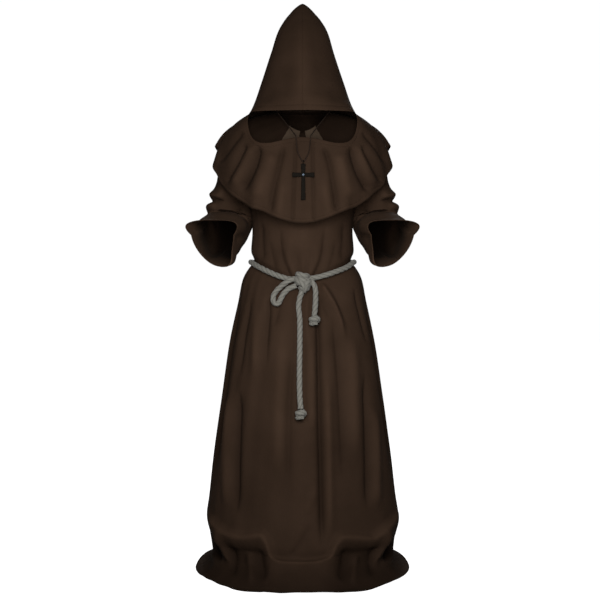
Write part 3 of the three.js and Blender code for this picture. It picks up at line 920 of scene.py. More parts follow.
@dataclass(frozen=True)
class MetalFinish:
    """Painted metal with small specks of wear.

    Attributes:
        base: Colour of the paint, linear.
        worn: Colour of the specks, linear.
        roughness: Its mean roughness.
    """

    base: Color
    worn: Color
    roughness: float

    def build(self, name: str) -> Material:
        """Make the material.

        Args:
            name: Its name.

        Returns:
            The material.
        """
        material, nodes, shader = new_material(name)
        grain = nodes.noise(420.0, 5.0)
        nodes.wire(shader, {
            "Base Color": nodes.blend(nodes.spread(grain, 0.5, 0.7), self.base, self.worn),
            "Roughness": nodes.math("MULTIPLY_ADD", grain, 0.2, self.roughness - 0.1),
            "Normal": nodes.bump(grain, 0.25, 0.0003),
            "Metallic": 0.2,
            "Specular IOR Level": 0.05,
        })
        return material


class Finishes:
    """All the costume's materials, built once."""

    def __init__(self) -> None:
        """Build the shared groups and the materials."""
        groups = {"weave": weave_group(), "crumple": crumple_group()}
        self.cloth = ClothFinish((0.0420, 0.0248, 0.0158), (0.0510, 0.0302, 0.0195)).build(
            "brown cloth", groups)
        # The collar cloth is a lighter copy of the brown cloth: painted light on the collar's wings.
        self.collar = ClothFinish((0.060, 0.0415, 0.0280), (0.080, 0.0560, 0.0390)).build(
            "collar cloth", groups)
        self.thread = ClothFinish((0.018, 0.0110, 0.0070), (0.026, 0.0160, 0.0100)).build(
            "seam thread", groups)
        self.rope = FibreFinish((0.075, 0.070, 0.058), (0.235, 0.228, 0.200), 900.0).build(
            "grey rope")
        self.cord = FibreFinish((0.008, 0.005, 0.0035), (0.026, 0.016, 0.011), 1500.0, 0.0).build(
            "dark cord")
        self.pendant = MetalFinish((0.0060, 0.0045, 0.0030), (0.013, 0.010, 0.007), 0.65).build(
            "dark pendant")
        self.stud = MetalFinish((0.06, 0.08, 0.11), (0.14, 0.17, 0.20), 0.3).build("pale stud")


def rope_group() -> Tree:
    """Build the tree that turns a route into a twisted rope of lobed section.

    Returns:
        A group with inputs for radius, strands, pitch, groove depth, spacing and finish.
    """
    group = new_group(
        "twisted rope", "GeometryNodeTree",
        "Geometry:Geometry Radius:Float Strands:Int Pitch:Float Depth:Float Spacing:Float "
        "Sides:Int Finish:Material", "Geometry:Geometry")
    start = group.node("NodeGroupInput").outputs
    route = group.node("GeometryNodeResampleCurve", {
        "Curve": start["Geometry"], "Length": start["Spacing"],
    }, mode="LENGTH")
    section = group.node("GeometryNodeCurvePrimitiveCircle", {
        "Resolution": start["Sides"], "Radius": start["Radius"],
    })
    marks = []
    for line, name, measure in ((route, "along", "Length"), (section, "around", "Factor")):
        place = group.node("GeometryNodeSplineParameter")
        mark = group.node("GeometryNodeCaptureAttribute", domain="POINT")
        mark.capture_items.new("FLOAT", name)
        group.wire(mark, {"Geometry": line.outputs[0], name: place.outputs[measure]})
        marks.append(mark.outputs)
    tube = group.node("GeometryNodeCurveToMesh", {
        "Curve": marks[0]["Geometry"], "Profile Curve": marks[1]["Geometry"], "Fill Caps": True,
    })
    turns = group.math("DIVIDE", marks[0]["along"], start["Pitch"])
    phase = group.math("SUBTRACT", marks[1]["around"], turns)
    lobes = group.math("MULTIPLY", group.math("MULTIPLY", phase, start["Strands"]), math.pi)
    crest = group.math("ABSOLUTE", group.math("COSINE", lobes))
    groove = group.math("POWER", group.math("SUBTRACT", 1.0, crest), 1.6)
    push = group.math("MULTIPLY", group.math("MULTIPLY", groove, start["Depth"]), -1.0)
    normal = group.node("GeometryNodeInputNormal")
    offset = group.node("ShaderNodeVectorMath", {0: normal.outputs[0], "Scale": push},
                        operation="SCALE")
    # The groove depth is also kept for the painted shade of the rope's material.
    marked = group.node("GeometryNodeStoreNamedAttribute", {
        "Geometry": tube.outputs[0], "Name": "groove", "Value": groove,
    }, data_type="FLOAT", domain="POINT")
    moved = group.node("GeometryNodeSetPosition", {
        "Geometry": marked.outputs[0], "Offset": offset.outputs[0],
    })
    smooth = group.node("GeometryNodeSetShadeSmooth", {0: moved.outputs[0]})
    return group.end(smooth.outputs[0], start["Finish"])


def stitch_group() -> Tree:
    """Build the tree that sets a row of stitches along a line.

    Returns:
        A group with inputs for spacing, stitch length, thread radius and finish.
    """
    group = new_group(
        "row of stitches", "GeometryNodeTree",
        "Geometry:Geometry Spacing:Float Length:Float Radius:Float Finish:Material",
        "Geometry:Geometry")
    start = group.node("NodeGroupInput").outputs
    points = group.node("GeometryNodeCurveToPoints", {
        "Curve": start["Geometry"], "Length": start["Spacing"],
    }, mode="LENGTH").outputs
    stitch = group.node("GeometryNodeMeshCylinder", {
        "Vertices": 6, "Side Segments": 1, "Radius": start["Radius"], "Depth": start["Length"],
    })
    turn = group.node("FunctionNodeAlignRotationToVector", {"Vector": points["Tangent"]}, axis="Z")
    placed = group.node("GeometryNodeInstanceOnPoints", {
        "Points": points["Points"], "Instance": stitch.outputs[0], "Rotation": turn.outputs[0],
    })
    return group.end(placed.outputs[0], start["Finish"])


def tuft_group() -> Tree:
    """Build the tree that hangs loose fibres from a small disc.

    Returns:
        A group with inputs for the density, fibre length and radius, spread, seed and finish.
    """
    group = new_group(
        "cut rope end", "GeometryNodeTree",
        "Geometry:Geometry Density:Float Length:Float Radius:Float Spread:Float Seed:Int "
        "Finish:Material", "Geometry:Geometry")
    start = group.node("NodeGroupInput").outputs
    points = group.node("GeometryNodeDistributePointsOnFaces", {
        "Mesh": start["Geometry"], "Density": start["Density"], "Seed": start["Seed"],
    })
    fibre = group.node("GeometryNodeMeshCone", {
        "Vertices": 5, "Side Segments": 2, "Radius Top": 0.0004,
        "Radius Bottom": start["Radius"], "Depth": start["Length"],
    })
    spread = start["Spread"]
    back = group.math("MULTIPLY", spread, -1.0)
    low = group.node("ShaderNodeCombineXYZ", {0: back, 1: back, 2: 0.0})
    high = group.node("ShaderNodeCombineXYZ", {0: spread, 1: spread, 2: 6.28})
    lean = group.node("FunctionNodeRandomValue", {
        "Min": low.outputs[0], "Max": high.outputs[0], "Seed": start["Seed"],
    }, data_type="FLOAT_VECTOR")
    placed = group.node("GeometryNodeInstanceOnPoints", {
        "Points": points.outputs["Points"], "Instance": fibre.outputs[0],
        "Rotation": lean.outputs[0],
    })
    return group.end(placed.outputs[0], start["Finish"])


def run_tree(source: Piece, tree: Tree, values: dict[str, object], name: str) -> Piece:
    """Run a geometry tree on an object and keep the result as a plain mesh.

    Args:
        source: The object to start from, removed afterwards.
        tree: The geometry tree.
        values: The tree's inputs, by name.
        name: Name of the result.

    Returns:
        The new mesh object.
    """
    modifier = source.modifiers.new("build", "NODES")
    modifier.node_group = tree
    for item in tree.interface.items_tree:
        if item.item_type == "SOCKET" and item.in_out == "INPUT" and item.name in values:
            modifier[item.identifier] = values[item.name]
    graph = bpy.context.evaluated_depsgraph_get()
    mesh = bpy.data.meshes.new_from_object(source.evaluated_get(graph))
    mesh.name = name
    bpy.data.objects.remove(source)
    return add_object(name, mesh)


def smooth_route(route: Route, steps: int) -> list[Vector]:
    """Round a given route into closely set points, in metres of the shared frame."""
    values = np.array(route, float)
    places = np.linspace(0, len(values) - 1, steps * (len(values) - 1) + 1)
    return in_frame(smooth_rows(values, places))


def curve_object(name: str, lines: Sequence[Sequence[Vector]], closed: bool = False) -> Piece:
    """Make a curve object with one straight-segment spline for each line.

    Args:
        name: Its name.
        lines: The points of each spline.
        closed: Whether each spline closes.

    Returns:
        The curve object.
    """
    curve = bpy.data.curves.new(name, "CURVE")
    curve.dimensions = "3D"
    for line in lines:
        spline = curve.splines.new("POLY")
        spline.points.add(len(line) - 1)
        for place, point in zip(spline.points, line):
            place.co = (*point, 1.0)
        spline.use_cyclic_u = closed
    return add_object(name, curve)


@dataclass
class RopeMaker:
    """Makes twisted rope along routes.

    Attributes:
        tree: The geometry tree of a rope.
        finish: Its material.
        diameter: Its diameter.
        strands: Number of strands.
        pitch: Length of one full twist.
        depth: Depth of the groove between strands.
        spacing: Distance between cross sections.
        sides: Number of sides of a cross section.
    """

    tree: Tree
    finish: Material
    diameter: float = ROPE_DIAMETER
    strands: int = 3
    pitch: float = 66.0
    depth: float = 1.8
    spacing: float = 2.2
    sides: int = 30

    def make(self, name: str, lines: Sequence[Sequence[Vector]]) -> Piece:
        """Make one rope mesh that follows one or more lines.

        Args:
            name: Its name.
            lines: The points of each stretch, in metres.

        Returns:
            The rope.
        """
        return run_tree(curve_object(name + "_route", lines), self.tree, {
            "Radius": (self.diameter / 2 + self.depth * 0.6) * MM,
            "Strands": self.strands,
            "Pitch": self.pitch * MM,
            "Depth": self.depth * MM,
            "Spacing": self.spacing * MM,
            "Sides": self.sides,
            "Finish": self.finish,
        }, name)


@dataclass
class Stitcher:
    """Sews visible stitches along lines on the cloth."""

    tree: Tree
    finish: Material
    spacing: float = 4.2
    length: float = 2.9
    radius: float = 0.32

    def sew(self, name: str, line: Array, closed: bool = True) -> Piece:
        """Sew one row of stitches on a line of points.

        Args:
            name: Name of the piece.
            line: Points in millimetres above the floor.
            closed: Whether the line closes.

        Returns:
            The stitches.
        """
        return run_tree(curve_object(name + "_line", [in_frame(line)], closed), self.tree, {
            "Spacing": self.spacing * MM,
            "Length": self.length * MM,
            "Radius": self.radius * MM,
            "Finish": self.finish,
        }, name)


def robe_points(angles: Array, places: Array) -> Array:
    """Give points of the robe's plain form.

    Args:
        angles: Degrees from the front, round by +X.
        places: Fractional rows, in the same shape.

    Returns:
        A point for each pair.
    """
    row = ROBE_ROWS.at(places)
    ahead = np.cos(np.radians(angles))
    aside = np.sin(np.radians(angles))
    power = 2 / np.where(ahead > 0, 2.0, row["square"])
    depth = np.where(ahead > 0, row["front"], row["back"])
    edge = np.where(ahead > 0, row["front_z"], row["back_z"])
    x = row["half"] * signed_power(aside, power)
    y = -depth * signed_power(ahead, power)
    z = row["side"] + (edge - row["side"]) * ahead * ahead
    return np.stack([x, y, z], axis=-1)


@dataclass
class Robe:
    """The long robe, a front and a back panel that meet in side seams.

    Attributes:
        front_columns: Cells across the front panel.
        back_columns: The same for the back panel.
        row_steps: Cells down the cloth between two rows of ROBE_ROWS.
        hem_band: Width of the turned hem.
        inner_tone: Painted shade on the inner side.
        fold_strength: Factor on what the folds from the waist down push.
        round_folds: Folds of the skirt, over degrees from the front and heights.
        front_folds: Folds of the front, over widths and heights.
        lap: The edge where the skirt laps over its own foot.
        foot_folds: Folds of the spread foot, over widths and heights.
        trail_rows: Angle, width and push of the foot's folds at the sides and the back.
        lap_shade: Painted shade under the lap, and round the foot at the sides and the back.
        low_shade: Painted shade that grows towards the floor.
        throat_shade: Painted shade on the cloth under the cape and the hood.
        hem_corner: How far the hem's front corners stand forward.
        corner_pinch: How far the foot is drawn in at the sides.
        shoulder_press: How much further in the shoulders lie than the rest under the cape.
        rope_press: How deep the hanging rope ends press in.
        cape_rows: The rows over which the cloth comes out from under the cape.
        skirt_rows: The rows over which the skirt starts to hang freely.
        foot_rows: The rows over which the cloth comes to lie on the floor.
    """

    front_columns: int = 208
    back_columns: int = 136
    row_steps: tuple[int, ...] = (
        3, 3, 3, 4, 4, 5, 5, 6, 7, 7, 9, 6, 5, 5, 8, 10, 14, 19, 15, 13, 11, 13, 13, 8, 6, 4,
    )
    hem_band: float = 22.0
    inner_tone: float = -0.3
    fold_strength: float = 1.5
    round_folds: tuple[Fold, ...] = (
        crease(((14.4, 940), (12.8, 800), (11.3, 500), (11.2, 108)), 12, -14, 0.12),
        Fold(((17.5, 700), (16.3, 400), (15.3, 120)), 17, 9, ends=0.3),
        Fold(((7.4, 800), (7.0, 620), (6.4, 480)), 16, 5),
        Fold(((43, 800), (38, 600), (35, 380)), 26, 7),
        crease(((52, 680), (46, 430), (41.5, 220)), 20, -11, 0.25),
        Fold(((59, 560), (53, 380), (48.5, 215)), 26, 8),
        crease(((-51, 620), (-47, 430), (-42, 200)), 20, -13, 0.25),
        Fold(((-62, 620), (-57, 400), (-51, 215)), 28, 8),
        crease(((-7, 760), (-9.2, 570), (-8.3, 280)), 18, -8, 0.3),
        Fold(((-19, 880), (-16, 640), (-14, 330)), 30, 7),
        crease(((-34, 930), (-31.3, 865), (-27, 680)), 11, -6, 0.4),
        Fold(((-45, 900), (-40, 780), (-35, 640)), 20, 6, ends=0.35),
        crease(((-56, 930), (-55, 800), (-52, 650)), 18, -6, 0.35),
        Fold(((-78, 960), (-74, 300)), 30, -9),
        Fold(((80, 960), (78, 300)), 30, -9),
        crease(((27, 860), (27, 640), (25.5, 300)), 20, -8, 0.3),
        Fold(((19, 970), (24, 940), (32, 875), (35, 780)), 11, 8),
        crease(((15, 950), (19, 905), (25, 845)), 14, -4, 0.35),
        crease(((27, 965), (35, 900), (41, 820)), 16, -4, 0.4),
        crease(((-17, 965), (-22, 900), (-24, 820)), 13, -4),
        crease(((58, 960), (60, 880), (60, 760)), 16, -6, 0.35),
        crease(((-150, 950), (-153, 150)), 28, -13, 0.15),
        Fold(((-127, 940), (-126, 200)), 40, 8),
        crease(((-178, 950), (-182, 140)), 28, -12, 0.15),
        crease(((150, 950), (152, 160)), 28, -13, 0.15),
        Fold(((124, 940), (122, 200)), 40, 8),
        Fold(((-166, 700), (-167, 120)), 36, 7),
        Fold(((165, 700), (166, 120)), 36, 7),
        crease(((-104, 950), (-103, 240)), 26, -9),
        crease(((105, 950), (103, 240)), 26, -9),
        crease(((-138, 960), (-136, 700)), 20, -7),
        crease(((137, 960), (136, 720)), 20, -7),
        crease(((-166, 975), (-164, 820)), 16, -6),
        crease(((166, 975), (164, 840)), 16, -6),
    )
    front_folds: tuple[Fold, ...] = (
        crease(((-75, 1170), (-72, 1075), (-52, 1015), (-34, 985)), 15, -6, 0.3),
        crease(((76, 1170), (70, 1075), (50, 1015), (30, 985)), 15, -6, 0.3),
        Fold(((-58, 1090), (-40, 1030), (-22, 985)), 13, 3.5),
        Fold(((58, 1090), (40, 1030), (18, 985)), 13, 3.5),
        crease(((-112, 1120), (-104, 1060), (-86, 1005)), 18, -4, 0.4),
        crease(((116, 1120), (106, 1060), (86, 1005)), 18, -4, 0.4),
        crease(((-14, 1060), (-10, 1030), (-6, 985)), 11, -3.5),
        crease(((18, 1050), (14, 1020), (10, 985)), 11, -3.5),
        crease(((-142, 1180), (-140, 1110), (-134, 1040)), 20, -5),
        crease(((143, 1180), (141, 1110), (134, 1040)), 20, -5),
        Fold(((0, 1170), (0, 1070)), 56, 4),
        crease(((32, 190), (-8, 130), (-42, 84)), 12, -4),
        Fold(((48, 310), (30, 270), (10, 225)), 12, 3),
    )
    lap: Fold = Fold((
        (-345, 190), (-316, 187), (-272, 160), (-234, 145), (-186, 142), (-132, 153),
        (-112, 130), (-98, 88), (-76, 68), (0, 64), (53, 68), (86, 84), (108, 130), (130, 147),
        (193, 139), (227, 135), (271, 161), (316, 187), (345, 190),
    ), 34, 21, Profile.STEP, 0.02)
    foot_folds: tuple[Fold, ...] = (
        *mirrored(
            Fold(((275, 158), (258, 110), (240, 66), (226, 42)), 13, 18),
            crease(((300, 120), (292, 80), (268, 44)), 16, -16, 0.3),
            Fold(((330, 60), (290, 40), (235, 46)), 12, 6, ends=0.4),
            crease(((220, 112), (223, 60), (224, 20)), 18, -11, 0.3),
            crease(((132, 118), (128, 60), (118, 20)), 18, -12, 0.3),
        ),
        Fold(((-168, 100), (-168, 55), (-160, 10)), 13, 12, ends=0.3),
        Fold(((168, 90), (166, 50), (158, 10)), 13, 12, ends=0.3),
    )
    trail_rows: tuple[tuple[float, float, float], ...] = (
        (101, 16, -11), (117, 20, 10), (134, 17, -13), (152, 22, 12), (169, 17, -12),
        (-174, 20, 10), (-157, 17, -13), (-139, 22, 11), (-120, 17, -12), (-103, 18, -9),
    )
    lap_shade: float = 0.38
    low_shade: float = 0.17
    throat_shade: float = 0.63
    hem_corner: float = 22.0
    corner_pinch: float = 10.0
    shoulder_press: float = 4.5
    rope_press: float = 5.0
    cape_rows: Span = (4.5, 6.5)
    skirt_rows: Span = (13.4, 15.5)
    foot_rows: Span = (21.5, 24.5)

    def trail_folds(self) -> list[Fold]:
        """Give the upright folds of the spread hem at the sides and the back."""
        return [Fold(((angle, 165), (angle * 1.01, 80), (angle * 1.02, 10)), width, out,
                     Profile.SOFT if out > 0 else Profile.CREASE, 0.3)
                for angle, width, out in self.trail_rows]

    def flatten_under_rope(self, grid: Array, relief: Array) -> Array:
        """Keep the cloth flat behind the two hanging ends of the rope.

        Args:
            grid: The robe's plain form.
            relief: The push of the folds.

        Returns:
            The push without what would stand into the rope.
        """
        x, y, z = np.moveaxis(grid, 2, 0)
        ends = ((LONG_TAIL_ROUTE, LONG_END_KNOT), (SHORT_TAIL_ROUTE, SHORT_END_KNOT))
        for route, knot in ends:
            hung = np.array([*route, knot], float)[::-1]
            beside = x - np.interp(z, hung[:, 2], hung[:, 0])
            span = smoothstep(z, knot[2] - 45, knot[2] - 10) * (1 - smoothstep(z, 960, 990))
            held = np.exp(-((beside / 20) ** 4)) * span * (y < 0)
            relief = relief - held * np.maximum(relief + self.rope_press, 0.0)
        return relief

    def angles(self) -> Array:
        """Give the columns' angles round the whole robe, from the right seam by the front."""
        front = np.linspace(-90, 90, self.front_columns + 1)
        back = np.linspace(90, 270, self.back_columns + 1)[1:-1]
        return np.concatenate([front, back])

    def shade(self, grid: Array, facing: Array) -> Array:
        """Work out the painted shade under the lap, round the foot and low on the skirt.

        Args:
            grid: The robe's plain form.
            facing: The share of each point that belongs to the front.

        Returns:
            How much darker each point is.
        """
        x, z = grid[..., 0], grid[..., 2]
        line_x, line_z = np.array(self.lap.route, float).T
        below = smoothstep(np.interp(x, line_x, line_z) - z, -4.0, 14.0)
        around = smoothstep(150.0 - z, 0.0, 90.0)
        under_lap = self.lap_shade * (facing * below + (1 - facing) * around)
        return under_lap + self.low_shade * smoothstep(700.0 - z, 0.0, 380.0)

    def surface(self) -> Surface:
        """Build the whole outer side with its folds."""
        angle, place = np.meshgrid(self.angles(), steps_between(self.row_steps))
        grid = robe_points(angle, place)
        x, y, z = np.moveaxis(grid, 2, 0)
        on_floor = smoothstep(60.0 - z, 0.0, 40.0) * (y < 0)
        grid[..., 1] -= self.hem_corner * bell(np.abs(x) - 200, 55) * on_floor
        spin = (angle + 180) % 360 - 180
        radius = (np.abs(x).max(axis=1, keepdims=True) + np.abs(y).max(axis=1, keepdims=True)) / 2
        scales = {"u_scale": radius * math.pi / 180, "turn": 360.0}
        facing = smoothstep(-y, 0.0, 60.0)
        calm = 1 - 0.85 * bell(place - BELT_ROW, 0.7)
        relief = relief_of(self.round_folds, spin, z, **scales)
        relief = relief + facing * relief_of(self.front_folds, x, z)
        relief = relief * calm * self.fold_strength
        at_foot = smoothstep(-y, 20.0, 150.0) * self.lap.relief(x, z)
        at_foot += facing * relief_of(self.foot_folds, x, z)
        at_foot += (1 - facing) * relief_of(self.trail_folds(), spin, z, **scales)
        flutes = Ripple(5.0, 64, 9, 0.05).relief(round_points(angle, z))
        # Painted shade in furrows, under the lap and low down; painted light on ridges.
        tone = painted_crease_shading(relief) + painted_crease_shading(at_foot, 24.0, 0.3) - self.shade(grid, facing)
        tone += painted_crease_shading(flutes, 5.0, 0.1)
        relief += Ripple(1.0, 80, 3).relief(grid) * calm
        relief += Ripple(2.5, 260, 5).relief(grid) * calm
        at_side = bell(y, 140)
        low_side = at_side * smoothstep(110.0 - z, 0.0, 50.0)
        hanging = 0.3 + 0.7 * smoothstep(place, *self.skirt_rows)
        relief += flutes * hanging * calm * (1 - 0.7 * low_side)
        relief -= self.corner_pinch * at_side * bell(z - 36, 24)
        relief = self.flatten_under_rope(grid, relief)
        low = smoothstep(place, *self.foot_rows)
        relief += at_foot + low * Ripple(4.0, 120, 8).relief(grid) * (z > 4)
        relief += hem_relief(edge_distance(grid, False), self.hem_band)
        under_cape = 1 - smoothstep(place, *self.cape_rows)
        pressed = 1.5 + self.shoulder_press * smoothstep(np.abs(x), 120.0, 180.0)
        relief = relief * (1 - under_cape) - pressed * under_cape
        # Painted shade under the cape and the hood.
        tone -= self.throat_shade * under_cape
        grid += normals_of(grid, True) * relief[..., None]
        grid[..., 2] = np.maximum(grid[..., 2], WALL + 0.2)
        return Surface(grid, tone)

    def build(self, finishes: Finishes, sewer: Stitcher, sleeves: Sequence[Sleeve]) -> list[Piece]:
        """Make both panels, opened where the sleeves go in.

        Args:
            finishes: The materials.
            sewer: Sews the hem.
            sleeves: The sleeves that the armholes are cut for.

        Returns:
            The panels and the hem's stitches.
        """
        cloth = self.surface()
        inside = np.zeros(cloth.tone.shape, bool)
        for sleeve in sleeves:
            inside |= sleeve.holds(cloth.grid)
        back = np.append(np.arange(self.front_columns, inside.shape[1]), 0)
        panels = (
            ("robe_front", np.arange(self.front_columns + 1), (1.45, 1.70), 1.32),
            ("robe_back", back, (1.45, 1.72), 1.36),
        )
        pieces = []
        for name, columns, flat, area in panels:
            hole = inside[:, columns]
            keep = ~(hole[:-1, :-1] & hole[1:, :-1] & hole[1:, 1:] & hole[:-1, 1:])
            piece = cloth.panel(name, columns, finishes.cloth, self.inner_tone, keep)
            pieces.append(piece)
        pieces.append(sewer.sew("robe_hem_stitches", cloth.line(self.hem_band)))
        return pieces


@dataclass
class Sleeve:
    """One bell sleeve, from inside the armhole to the open cuff.

    Attributes:
        name: Name of its node.
        side: 1 on the +X side, -1 on the other.
        columns: Cells round the sleeve.
        row_steps: Cells along it between two rows of SLEEVE_ROWS.
        start: The row at which the cloth starts.
        cuff_band: Width of the turned cuff.
        painted_light_lift: Painted light over the whole sleeve, which makes it lighter than the robe.
        mouth_shade: Painted shade inside the sleeve, deeper away from the cuff.
        lining_light: The share of it spared on the mouth's outer side, where light gets in.
        fold_strength: Factor on what the folds push.
        radius: Typical radius, which turns the folds' degrees into millimetres.
        row_gap: Typical distance between two rows of the table.
        hole_x: The robe's armhole lies beyond this distance from the middle.
        hole_z: The span of heights that the armhole lies in.
        hole_share: The share of the sleeve's hollow, squared, that the armhole takes up.
        folds: Its folds, over degrees from the outer side and fractional rows.
    """

    name: str
    side: int
    columns: int = 150
    row_steps: tuple[int, ...] = (14, 16, 18, 18, 18, 18, 16, 16, 18)
    start: float = 0.5
    cuff_band: float = 16.0
    painted_light_lift: float = 0.13
    mouth_shade: float = 0.72
    lining_light: float = 0.6
    fold_strength: float = 1.4
    radius: float = 70.0
    row_gap: float = 62.0
    hole_x: float = 186.0
    hole_z: Span = (1250.0, 1500.0)
    hole_share: float = 0.88
    folds: tuple[Fold, ...] = (
        crease(((-150, 3.2), (-90, 3.9), (-35, 4.6)), 11, -7),
        crease(((-170, 4.2), (-100, 4.6), (-40, 5.1)), 11, -8),
        crease(((-150, 5.3), (-95, 5.2), (-45, 5.5)), 10, -6),
        Fold(((-140, 3.7), (-90, 4.25), (-30, 4.9)), 12, 6),
        Fold(((-160, 4.8), (-95, 4.95), (-40, 5.3)), 10, 6),
        Fold(((-70, 2.5), (-20, 2.9), (40, 3.1)), 12, 7),
        crease(((-80, 2.85), (-15, 3.2), (35, 3.45)), 10, -9),
        Fold(((-60, 3.3), (0, 3.6), (50, 3.8)), 14, 6),
        crease(((-40, 3.8), (10, 4.1), (60, 4.3)), 12, -6),
        crease(((-90, 1.6), (-30, 2.2), (20, 2.6)), 16, -5),
        crease(((100, 4.2), (95, 5.6), (80, 7.6)), 18, -6),
        Fold(((125, 5.2), (120, 6.8), (112, 8.8)), 16, 6),
        Fold(((60, 5.2), (55, 6.8), (50, 8.8)), 16, 5),
        crease(((-20, 4.6), (-12, 6.2), (-8, 8.6)), 16, -5),
        crease(((175, 5.6), (178, 7.0), (172, 8.7)), 16, -5),
        Fold(((180, 2.7), (180, 3.5), (180, 4.3)), 34, 11),
        Fold(((118, 7.0), (121, 8.2), (122, 9.4)), 27, 12, ends=0.3),
    )

    def frames(self, places: Array) -> tuple[Array, Array, Array, dict[str, Array]]:
        """Give the centre and the two cross directions at each place, on the +X side.

        Args:
            places: Fractional rows.

        Returns:
            Centres, outward directions, underside directions and the blended rows.
        """
        row = SLEEVE_ROWS.at(places)
        centre = np.stack([row[axis] for axis in "xyz"], axis=-1)
        along = np.gradient(centre, axis=0)
        along /= np.linalg.norm(along, axis=1, keepdims=True)
        aside = np.array([1.0, 0.0, 0.0]) - along[:, :1] * along
        aside /= np.linalg.norm(aside, axis=1, keepdims=True)
        return centre, aside, np.cross(aside, along), row

    def surface(self) -> Surface:
        """Build the outer side with its folds, mirrored if the sleeve is on the -X side."""
        places = steps_between(self.row_steps)
        places = places[places >= self.start]
        centre, aside, under, row = self.frames(places)
        angle = np.arange(self.columns) * 360 / self.columns
        c, s = np.cos(np.radians(angle)), np.sin(np.radians(angle))
        flare, taper = row["flare"][:, None], row["taper"][:, None]
        width = np.where(c > 0, row["outer"][:, None], row["inner"][:, None])
        on_top = width * signed_power(c, 1 / (1 + flare)) * (1 - flare * s)
        below = width * c * (1 - taper * s) - row["lean"][:, None] * s
        reach = np.where(s < 0, on_top, below)
        depth = np.where(s > 0, row["under"][:, None], row["top"][:, None]) * s
        grid = centre[:, None] + aside[:, None] * reach[..., None] + under[:, None] * depth[..., None]
        spin = np.broadcast_to((angle + 180) % 360 - 180, reach.shape)
        place = np.broadcast_to(places[:, None], reach.shape)
        relief = self.fold_strength * relief_of(
            self.folds, spin, place, u_scale=self.radius * math.pi / 180, v_scale=self.row_gap,
            turn=360.0)
        # Painted shade and light on the folds, and painted light over the whole sleeve.
        tone = painted_crease_shading(relief, 18.0) + self.painted_light_lift
        relief += Ripple(1.4, 70, 12).relief(grid)
        relief += hem_relief(edge_distance(grid, False), self.cuff_band)
        grid += normals_of(grid, True) * relief[..., None]
        if self.side < 0:
            return Surface(grid[:, ::-1] * (-1, 1, 1), tone[:, ::-1])
        return Surface(grid, tone)

    def holds(self, points: Array) -> Array:
        """Tell which points lie well inside the sleeve's hollow.

        Args:
            points: A grid of points.

        Returns:
            True where the sleeve's hollow holds the point.
        """
        centre, aside, under, row = self.frames(np.linspace(0.6, 6, 60))
        flat = (points * (self.side, 1, 1)).reshape(-1, 3)
        low, high = self.hole_z
        near = (flat[:, 0] > self.hole_x) & (flat[:, 2] > low) & (flat[:, 2] < high)
        result = np.zeros(len(flat), bool)
        chosen = flat[near]
        gaps = np.linalg.norm(chosen[:, None] - centre[None], axis=2)
        best = gaps.argmin(axis=1)
        away = chosen - centre[best]
        across = np.einsum("ij,ij->i", away, aside[best])
        deep = np.einsum("ij,ij->i", away, under[best])
        reach = np.where(across > 0, row["outer"][best], row["inner"][best])
        drop = np.where(deep > 0, row["under"][best], row["top"][best])
        result[near] = (across / reach) ** 2 + (deep / drop) ** 2 < self.hole_share
        return result.reshape(points.shape[:-1])

    def build(self, finishes: Finishes, sewer: Stitcher) -> list[Piece]:
        """Make the sleeve and its cuff's stitches.

        Args:
            finishes: The materials.
            sewer: Sews the cuff.

        Returns:
            The sleeve and its stitches.
        """
        cloth = self.surface()
        # Painted shade inside the sleeve, lighter on the outer side of the mouth.
        deep = smoothstep(edge_distance(cloth.grid, False), 45.0, 140.0)
        lining = 1 - self.lining_light * smoothstep(np.abs(cloth.grid[..., 0]), 285.0, 320.0)
        wall = ClothWall(self.name + "_cloth", cloth.grid, True, cloth.normals, tone=cloth.tone,
                         inner_tone=-0.05 - self.mouth_shade * deep * lining)
        piece = wall.build(finishes.cloth)
        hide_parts(self.name)
        return [piece, sewer.sew(self.name + "_stitches", cloth.line(self.cuff_band))]


